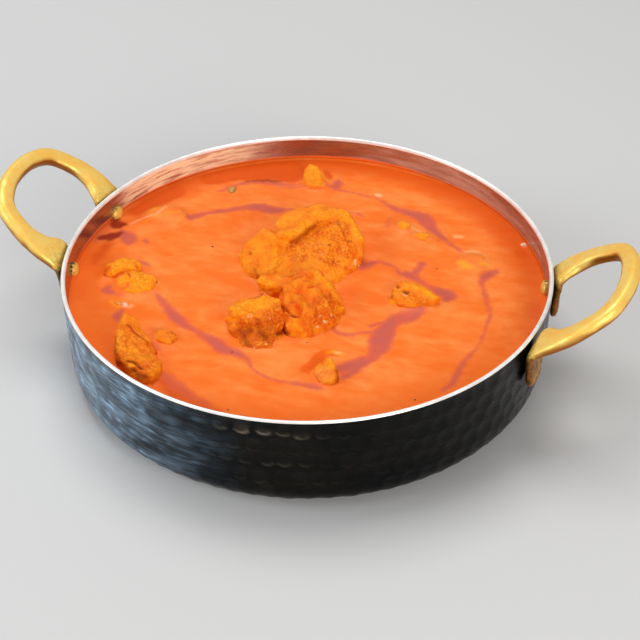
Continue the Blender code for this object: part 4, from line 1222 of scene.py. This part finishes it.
# strokes lie in the plan, seen from above: x, y and half width along each one
gravy = {
    "steps": 560,  # round the pool
    "ringGap": 0.5,
    "coarse": (24, 1.1),  # within this radius the rings are this far apart
    "meniscus": (0.5, 1.1),  # rise at the wall, and how far from it
    "swell": (22, 0.16),  # size and depth
    "ripple": 0.05,  # depth of all ripples together
    "ripples": [((12, 5.5, 5), 0.6, 7), ((5.5, 2.2, 3), 0.5, 8), ((2.6, 1.2, 2), 0.25, 25)],
    "grit": (3.0, 0.04),
    "crease": (0.22, 0.7),  # height and half width
    "calm": 10,  # rounds of smoothing over the sunken pieces
    "skin": 0.3,  # over the parts of the meat that it covers
    # how high it climbs a piece's side, how far from it, and the height up to which it covers it
    "cover": {
        "lamb_sunk_left": (0.5, 3.0, 9.0),
        "lamb_sunk_right": (0.5, 3.0, 9.0),
        "lamb_small": (1.0, 1.8, 1.2),
        "lamb_left": (1.0, 1.5, 0.9),
        "lamb_far_tip": (1.0, 2.0, 1.4),
        "lamb_front_flake": (0.5, 1.0, 0.6),
        "lamb_nub": (0.9, 1.8, 1.2),
        "lamb_back_flake": (0.9, 2.0, 1.4),
        "lamb_right": (0.8, 1.2, 0.6),
    },
    "coverOthers": (0.6, 0.8, 0.5),
    "streaks": [
        [(-51, 24, 2.0), (-45.8, 29.2, 1.2), (-40.5, 32.2, 1.3), (-35.3, 35.8, 1.6),
            (-30, 37.8, 2.6), (-24, 37.5, 2.5), (-18.8, 39.7, 0.6), (-14, 40.4, 0.3), (3, 44, 0.5),
            (7, 43, 0.6)],
        [(-48.4, 43.7, 0.2), (-45.8, 45.3, 0.9), (-41.2, 51, 1.0), (-34.6, 53.6, 1.2),
            (-27.4, 54.5, 1.2), (-20.8, 55.2, 0.6), (-7.6, 56.8, 0.8), (-1, 56.8, 0.6),
            (5.3, 56.2, 0.5), (9.9, 55.2, 0.6), (13.2, 52.9, 1.0), (17.1, 50.9, 1.6),
            (21.7, 49.9, 2.0), (27.6, 48.3, 3.2), (29.6, 45.7, 3.0), (32.2, 42.4, 2.2),
            (35.5, 39.1, 1.6), (39.5, 35.8, 1.0), (42.8, 33.2, 0.7), (45.4, 30.9, 0.3)],
        [(-7.6, 58.0, 1.6), (-7.4, 61.4, 1.8), (-7.8, 63.0, 0.8)],
        [(15.0, 11.6, 1.0), (16.4, 14.7, 2.0), (19.1, 17.4, 1.0), (22.4, 17.4, 0.8),
            (25.7, 16.1, 0.8), (28.3, 13.4, 1.4), (31.6, 13.4, 2.3), (34.9, 11.4, 1.4),
            (39.5, 8.8, 1.2), (43.4, 7.2, 2.4), (46.4, 6.2, 2.8), (46, 3.4, 1.6)],
        [(33.9, 20.7, 1.7), (33.5, 17.4, 1.2), (32.5, 14.5, 1.6)],
        [(39.0, -3.0, 2.0), (38.8, -4.6, 2.6), (36.8, -8.2, 3.4), (32.9, -12.1, 3.0),
            (31.6, -16.7, 3.2), (31.2, -22, 4.1), (31.6, -26.6, 3.4), (30.9, -31.8, 2.0),
            (28.6, -36.4, 1.9), (27, -40.4, 1.7), (25, -44.3, 1.0)],
        [(22.5, -41.0, 1.2), (24.0, -39.4, 2.6), (26.6, -36.8, 2.4), (28.8, -34.0, 2.2)],
        [(15.1, -22, 0.5), (17.8, -23.9, 1.0), (21, -23.3, 0.8), (24.3, -21.3, 0.7),
            (28.3, -19.5, 1.0)],
        [(26.2, -17.2, 0.9), (28.3, -15.2, 0.9), (31, -13, 1.0)],
        [(-45.8, -20.7, 0.6), (-43.2, -23.3, 1.2), (-39.9, -25.9, 1.6), (-37.2, -28.6, 2.0),
            (-33.3, -31.8, 2.3), (-30, -33.8, 1.6), (-26.7, -35.1, 1.3), (-22.8, -37.1, 1.5),
            (-18.2, -39.1, 2.6), (-14.2, -41.7, 2.5), (-9.6, -42.4, 1.8), (-5.7, -44.3, 1.1),
            (-3, -47.6, 0.5), (0, -49.6, 0.5), (3.9, -50.9, 0.5), (9.2, -51.2, 0.6),
            (14.5, -50.6, 1.1), (19.1, -50.9, 1.3), (20.9, -50.9, 0.5)],
        [(58.8, 25.2, 0.5), (58.3, 23.6, 1.1), (56.6, 21.0, 1.7), (55.3, 17.4, 1.5),
            (55.9, 14.1, 0.8), (57.9, 9.5, 0.8), (59.2, 5.5, 0.7), (61.2, 0.9, 0.7),
            (61.5, -5.7, 0.5), (61.5, -11.4, 0.4), (60.9, -18, 0.4), (58.6, -25.3, 0.9),
            (57.9, -31.8, 1.2), (57.2, -37.1, 1.1), (55.3, -41, 0.6)],
        [(-61.8, -22.5, 1.3), (-61.2, -24.4, 1.8), (-57, -25.3, 0.6), (-55, -25.6, 0.4)],
        [(-52.5, -32.5, 1.0), (-52.6, -35.2, 1.7), (-51.8, -37.6, 0.9)],
        [(-57.6, -5.4, 0.6), (-55.6, -6.6, 1.0), (-54.1, -6.9, 0.6)],
        [(-70.5, 9.0, 1.5), (-66.8, 6.4, 3.1), (-65.6, 4.0, 2.0)],
        [(-61.0, 6.4, 1.0), (-59.6, 6.0, 1.0)],
    ],
    "faint": [
        [(-29.3, -58.2, 1.0), (-25.4, -59.8, 2.0), (-20.8, -62.8, 2.1), (-15.0, -65.6, 1.2),
            (-9.0, -67.6, 0.6)],
        [(16.6, 45.5, 0.4), (16.1, 41.7, 0.6), (17.8, 37.8, 0.4)],
        [(-36, -46, 1.0), (-34, -48, 1.4)],
        [(-27.4, 53.2, 1.2), (-18, 54.0, 1.0), (-12, 55.4, 0.8)],
    ],
    "pools": [
        [(-75.4, 15.5, 1.2), (-74.0, 12.6, 2.2), (-71.5, 13.4, 1.2)],
        [(-75.6, 3.6, 1.4), (-72.8, 5.3, 2.3), (-70.8, 8.0, 1.2)],
        [(-40.5, 52.8, 0.4), (-33.5, 55.4, 0.7), (-28.0, 56.0, 0.4)],
    ],
    "deep": [
        [(-39, 58, 6.0), (-31, 62, 8.0), (-24, 62, 6.0)],
        [(64.1, 37.0, 0.9), (64.9, 35.9, 0.9)],
        [(-72, 0.5, 1.5), (-72.4, -5.7, 2.2), (-72, -11, 1.2)],
        [(-28, -61.0, 1.6), (-22, -64.5, 3.0), (-15, -67.5, 2.6), (-5, -70.5, 1.2)],
        [(-52, 51, 3.5), (-46, 56, 4.5)],
        [(13.5, -38, 0.2), (14.5, -42, 0.6), (12.5, -45, 0.2)],
        [(-62, 38, 2.5), (-66, 30, 3.0), (-70, 22, 2.5)],
    ],
    # painted shade near the left and right walls
    "dull": [
        [(-78, 12, 2.0), (-78, -2, 3.0), (-75, -16, 3.0), (-70, -30, 1.5)],
        [(76, 10, 1.0), (77, -6, 1.5)],
    ],
    "films": [
        [(11.3, -44.2), (12.7, -39.1), (13.7, -35.1), (15.8, -32.5), (18.5, -31.3), (21.0, -32.2),
            (21.2, -34.5), (18.2, -35.4), (16.8, -38.6), (15.8, -41.6), (14.8, -45.8)],
        [(-72.8, -0.9), (-69.9, -2.5), (-70.4, -6.4), (-71.5, -10.4), (-72.3, -11.9), (-73.2, -9.1),
            (-73.2, -4.2)],
        [(-15.3, 68.7), (-12.5, 67.3), (-10.5, 64.3), (-10.8, 61.3), (-13.0, 63.5)],
    ],
    "gold": [
        [(46.2, 23.6, 0.7), (48.6, 22.4, 1.2), (50.4, 21.8, 0.6)],
        [(53.0, 25.0, 0.5), (54.4, 26.2, 0.6)],
        [(20.6, 42.6, 0.3), (22.8, 41.2, 0.7)],
        [(17.0, -33.6, 0.2), (19.0, -32.8, 0.5), (21.0, -33.4, 0.2)],
        [(-66.0, 14.0, -0.6), (-60.5, 21.0, -0.4), (-55.0, 25.0, -0.2)],
        [(-65.9, 22.6, 0.7), (-64.2, 24.6, 1.0)],
        [(-54.6, -30.9, 0.5), (-54.1, -29.6, 0.5)],
        [(-57.2, -29.4, 0.5), (-55.3, -30.0, 0.7)],
    ],
    "creases": [
        [(-71.0, 12.0, 0.0), (-69.4, 14.3, 0.0), (-67.4, 16.9, 0.0), (-63.6, 19.4, 0.0),
            (-61.9, 21.9, 0.0), (-60.4, 28.5, 0.0)],
        [(18.4, -31.6, 0.0), (20.2, -31.9, 0.0), (22.4, -32.6, 0.0)],
    ],
    # mostly painted highlights, on ridges of the skin over sunken meat and along the wall at the
    # back left, and pale fat and onion beside some bits
    "pale": [
        [(45.9, 31.0, 0.1), (48.1, 32.4, 0.9), (50.6, 32.8, 0.5)],
        [(45.4, 29.4, 0.1), (46.4, 28.8, 0.3)],
        [(24.8, 40.9, 0.1), (28.0, 39.2, 0.4), (31.0, 37.8, 0.0)],
        [(-69.4, 14.3, 0.2), (-67.4, 16.9, 0.3), (-63.6, 19.4, 0.3), (-61.9, 21.9, 0.3),
            (-60.4, 28.5, 0.2)],
        [(41.1, 40.1, 0.8), (42.8, 40.6, 0.8)],
        [(-52.4, -30.2, 0.8), (-50.7, -29.7, 0.8)],
        [(19.4, -33.3, 0.4), (20.5, -32.9, 0.4)],
        [(64.2, 42.2, 0.6), (64.8, 41.6, 0.6)],
        [(8.2, 58.2, 0.8), (9.2, 57.6, 0.8)],
        [(-12.2, -11.0, 0.5), (-10.8, -11.5, 0.5)],
        [(-75.4, 20.2, -0.3), (-71.3, 31.7, -0.3), (-66.2, 41.3, -0.3)],
    ],
}


def gravyProfile():
    wide = wallRadius(gravyLevel, pan["wall"]) + 0.05
    middle, gap = gravy["coarse"]
    rings = int((wide - middle) / gravy["ringGap"])
    radii = [0.0] + list(np.arange(2, middle, gap)) + list(np.linspace(middle, wide, rings))
    top = [(r, gravyLevel) for r in radii]
    side = [(wide - 0.1, gravyLevel - 4)] + cornerArc(pan["wall"], 0, -90, 4)
    return top + side + [(0, pan["wall"])]


def strongest(flat, kind):
    return np.max([inside(flat, curved(stroke)) for stroke in gravy[kind]], axis=0)


def over(spots, node, margin):
    # which spots lie over a piece of meat, or nearly
    low, high = meatTrees[node][1][:2] - margin, meatTrees[node][2][:2] + margin
    return (spots[:, :2] > low).all(1) & (spots[:, :2] < high).all(1)


def meetMeat(spots):
    # the rise where gravy climbs a piece's side or lies over its low parts
    rise = np.zeros(len(spots))
    uneven = lumps(spots, 3.2, 16)
    margin, above = 6, 60
    for node, (tree, *_) in meatTrees.items():
        climb, spread, cover = gravy["cover"].get(node, gravy["coverOthers"])
        for i in np.flatnonzero(over(spots, node, margin)):
            gap = tree.find_nearest(Vector(spots[i]) * mm, margin * mm)[3]
            if gap is not None:
                rise[i] = max(rise[i], climb * math.exp(-gap / mm / spread))
            start = Vector((spots[i][0], spots[i][1], above)) * mm
            top = tree.ray_cast(start, Vector((0, 0, -1)))[0]
            if top is not None:
                covered = top.z / mm - gravyLevel + gravy["skin"]
                rise[i] = max(rise[i], min(covered, cover * (1 + 1.2 * uneven[i])))
    return rise


def calm(mesh, spots):
    # round off the gravy where it lies over a sunken piece
    bm = bmesh.new()
    bm.from_mesh(mesh)
    bm.verts.ensure_lookup_table()
    top = spots[:, 2] > gravyLevel - 1
    for node in ("lamb_sunk_left", "lamb_sunk_right"):
        verts = [bm.verts[i] for i in np.flatnonzero(over(spots, node, 3) & top)]
        for _ in range(gravy["calm"]):
            bmesh.ops.smooth_vert(bm, verts=verts, factor=0.5, use_axis_z=True)
    bm.to_mesh(mesh)
    bm.free()


def gravyMesh():
    mesh = spunMesh("gravyPool", gravyProfile(), gravy["steps"])
    spots = spotsOf(mesh)
    top = spots[:, 2] > gravyLevel - 0.5
    radius = np.hypot(spots[:, 0], spots[:, 1])
    ripples = sum(deep * lumps(spots, size, seed) for size, deep, seed in gravy["ripples"])
    swell = lumps(spots, gravy["swell"][0], 9)
    rise = gravy["swell"][1] * swell + gravy["ripple"] * ripples
    rise += gravy["grit"][1] * lumps(spots, gravy["grit"][0], 10)
    high, spread = gravy["meniscus"]
    rise += high * np.exp(-(radius.max() - radius) / spread)
    rise[top] += meetMeat(spots[top])
    high, wide = gravy["crease"]
    rise += high * bell(np.minimum(strongest(spots[:, :2], "creases"), 0), 0, wide)
    spots[:, 2] += np.where(top, rise, 0)
    moveTo(mesh, spots)
    calm(mesh, spots)
    paintGravy(mesh, spots, radius, ripples, swell)
    return mesh


def paintGravy(mesh, spots, radius, ripples, swell):
    flat = spots[:, :2]
    wide = radius.max()
    away = np.degrees(np.arctan2(flat[:, 1], flat[:, 0]))  # round from the right handle
    oil, faint = strongest(flat, "streaks"), strongest(flat, "faint")
    film = np.zeros(len(spots))
    for outline in gravy["films"]:
        depth = insideOutline(flat, outline) + 0.4 * lumps(spots, 2, 17)
        film = np.maximum(film, ease(depth, -0.5, 0.4))
    deep = ease(strongest(flat, "deep") + 1.2 * lumps(spots, 5, 12), -2.0, 2.2)
    deep *= 1 + 0.5 * np.minimum(lumps(spots, (7, 2.5, 3), 29), 0.1)
    deep = np.maximum(deep, 0.4 * film)
    backEdge = ease(radius, 63, 75) * within(away, -25, 30, 150, 178)
    frontEdge = ease(radius, 50, 78) * (1 - ease(np.abs(away + 110), 70, 140))
    # painted highlight: a lighter line where the gravy meets the wall at the back left
    meniscusHighlight = 1 - 0.7 * ease(radius, wide - 1.8, wide - 0.9) * within(away, 60, 80, 130, 150)
    deep = np.clip(0.9 * deep + 0.85 * backEdge, 0, 1) * meniscusHighlight * (1 - ease(oil, -1.5, 0.5))
    pools = ease(strongest(flat, "pools") + 0.6 * lumps(spots, 1.8, 11), -0.8, 0.8)
    # painted shade near the walls
    dull = ease(strongest(flat, "dull") + 1.5 * lumps(spots, 7, 19), -5, 3)
    gold = ease(strongest(flat, "gold") + 0.5 * lumps(spots, 1.5, 18), -1.6, 1.0)
    layers = {
        "oil": np.clip(np.maximum(oil, faint), -3, 3),
        "oilThick": np.where(faint > oil, 0.5, 0.75 + 0.2 * ease(oil, 0.2, 1.8)),
        "dark": pools * 0.95,
        "deep": deep,
        "dull": dull * 0.85,
        "red": np.clip(np.maximum(0.75 * frontEdge + 0.25 * swell, film), 0, 1),
        "gold": gold * 0.7,
        # mostly painted highlights
        "pale": ease(strongest(flat, "pale"), -0.7, 0.5) * 0.6,
        # painted sheen, following the ripples' height
        "stroke": np.clip(0.5 + 1.2 * ripples, 0, 1),
    }
    for name, values in layers.items():
        paint(mesh, name, values)


makeObject("gravyPool", gravyMesh(), gravySkin, "gravy", "gravy")

print("stage: bits in the gravy")

# each bit: its place, half its size, a light and a dark colour, and how rough it is
bits = {
    "onionBit": ((-52.6, -29.6), (1.5, 1.1, 0.7), rgb(0.93, 0.48, 0.3), rgb(0.85, 0.24, 0.1), 0.25),
    "skinBit": ((-55.2, -29.4), (1.3, 0.9, 0.6), rgb(0.92, 0.34, 0.04), rgb(0.80, 0.20, 0.02), 0.3),
    "herbBit": ((-43.0, 46.0), (1.4, 2.2, 0.8), rgb(0.62, 0.30, 0.03), rgb(0.32, 0.17, 0.03), 0.4),
    "fatDotFar": ((8.6, 58.0), (1.3, 1.1, 0.6), rgb(0.95, 0.50, 0.24), rgb(0.90, 0.30, 0.08), 0.25),
    "fatDotRight": ((64.5, 42), (1.0, 0.9, 0.6), rgb(0.96, 0.62, 0.45), rgb(0.9, 0.34, 0.14), 0.2),
}
specks = {
    "spots": [(39.2, 19.6), (-58.0, -14.7), (-3.2, -68.2), (9.6, -31.1), (48.4, -47.6),
        (-11.3, -42.3), (13.6, 10.5), (-37.2, 9.8)],
    "radius": 0.32,
    "light": rgb(0.30, 0.07, 0.01),
    "dark": rgb(0.12, 0.03, 0.01),
    "rough": 0.4,
}


def bitMesh(name, spot, half):
    bm = bmesh.new()
    bmesh.ops.create_icosphere(bm, subdivisions=4, radius=1.0)
    bmesh.ops.scale(bm, vec=Vector(half) * mm, verts=bm.verts)
    bmesh.ops.translate(bm, vec=Vector((*spot, gravyLevel)) * mm, verts=bm.verts)
    mesh = meshFrom(bm, name)
    spots, normals = spotsOf(mesh), normalsOf(mesh)
    moveTo(mesh, spots + normals * (0.25 * lumps(spots, 0.9, 13))[:, None])
    return mesh


def specksMesh():
    bm = bmesh.new()
    for i, (x, y) in enumerate(specks["spots"]):
        radius = specks["radius"] * mm
        ball = bmesh.ops.create_icosphere(bm, subdivisions=2, radius=radius)["verts"]
        bmesh.ops.scale(bm, vec=(1.0 + 0.3 * math.sin(i), 1.0, 0.6), verts=ball)
        bmesh.ops.translate(bm, vec=Vector((x, y, gravyLevel + 0.1)) * mm, verts=ball)
    return meshFrom(bm, "spiceSpecks")


for name, (spot, half, *finish) in bits.items():
    makeObject(name, bitMesh(name, spot, half), bitMaterial(name, *finish), "gravy")
speckMaterial = bitMaterial("spiceSpeck", specks["light"], specks["dark"], specks["rough"])
makeObject("spiceSpecks", specksMesh(), speckMaterial, "gravy")

print("stage: floor, lights and camera")

floor = {"size": 3.0, "colour": rgb(0.60, 0.60, 0.60), "rough": 0.8}
bm = bmesh.new()
bmesh.ops.create_grid(bm, x_segments=1, y_segments=1, size=floor["size"] / 2)
floorMesh = bpy.data.meshes.new("floor")
bm.to_mesh(floorMesh)
bm.free()
floorPiece = bpy.data.objects.new("floor", floorMesh)
bpy.context.scene.collection.objects.link(floorPiece)
floorMaterial, floorTree, floorShader = newMaterial("paleFloor")
setInputs(floorTree, floorShader, {"Base Color": floor["colour"], "Roughness": floor["rough"]})
floorMesh.materials.append(floorMaterial)


def lookAt(thing, spot, aim):
    # stand at a spot and face another, both in metres
    thing.location = spot
    thing.rotation_euler = (Vector(aim) - Vector(spot)).to_track_quat("-Z", "Y").to_euler()
    bpy.context.scene.collection.objects.link(thing)


# each light: its place in metres, size, power and colour
lights = {
    "softboxTop": ((-0.2, 0.3, 1.1), 0.7, 7.4, (1.0, 0.99, 0.97)),
    "softboxRight": ((0.75, -0.75, 0.42), 0.6, 8.0, (1.0, 0.97, 0.93)),
    "softboxLeft": ((-0.85, -0.45, 0.5), 0.6, 5.0, (0.9, 0.95, 1.0)),
}
for name, (spot, size, power, colour) in lights.items():
    lamp = bpy.data.lights.new(name, "AREA")
    lamp.size, lamp.energy, lamp.color = size, power, colour
    lookAt(bpy.data.objects.new(name, lamp), spot, (0, 0, 0.02))

world = bpy.data.worlds.new("studio")
world.use_nodes = True
world.node_tree.nodes["Background"].inputs["Color"].default_value = rgb(1.0, 1.0, 1.0)
world.node_tree.nodes["Background"].inputs["Strength"].default_value = 0.3
bpy.context.scene.world = world

camera = bpy.data.cameras.new("camera")
camera.lens = view["lens"]
camera.clip_start = 0.01
cameraPiece = bpy.data.objects.new("camera", camera)
lookAt(cameraPiece, Vector(view["spot"]) * mm, Vector(view["aim"]) * mm)
bpy.context.scene.camera = cameraPiece
bpy.context.scene.view_settings.view_transform = "Standard"
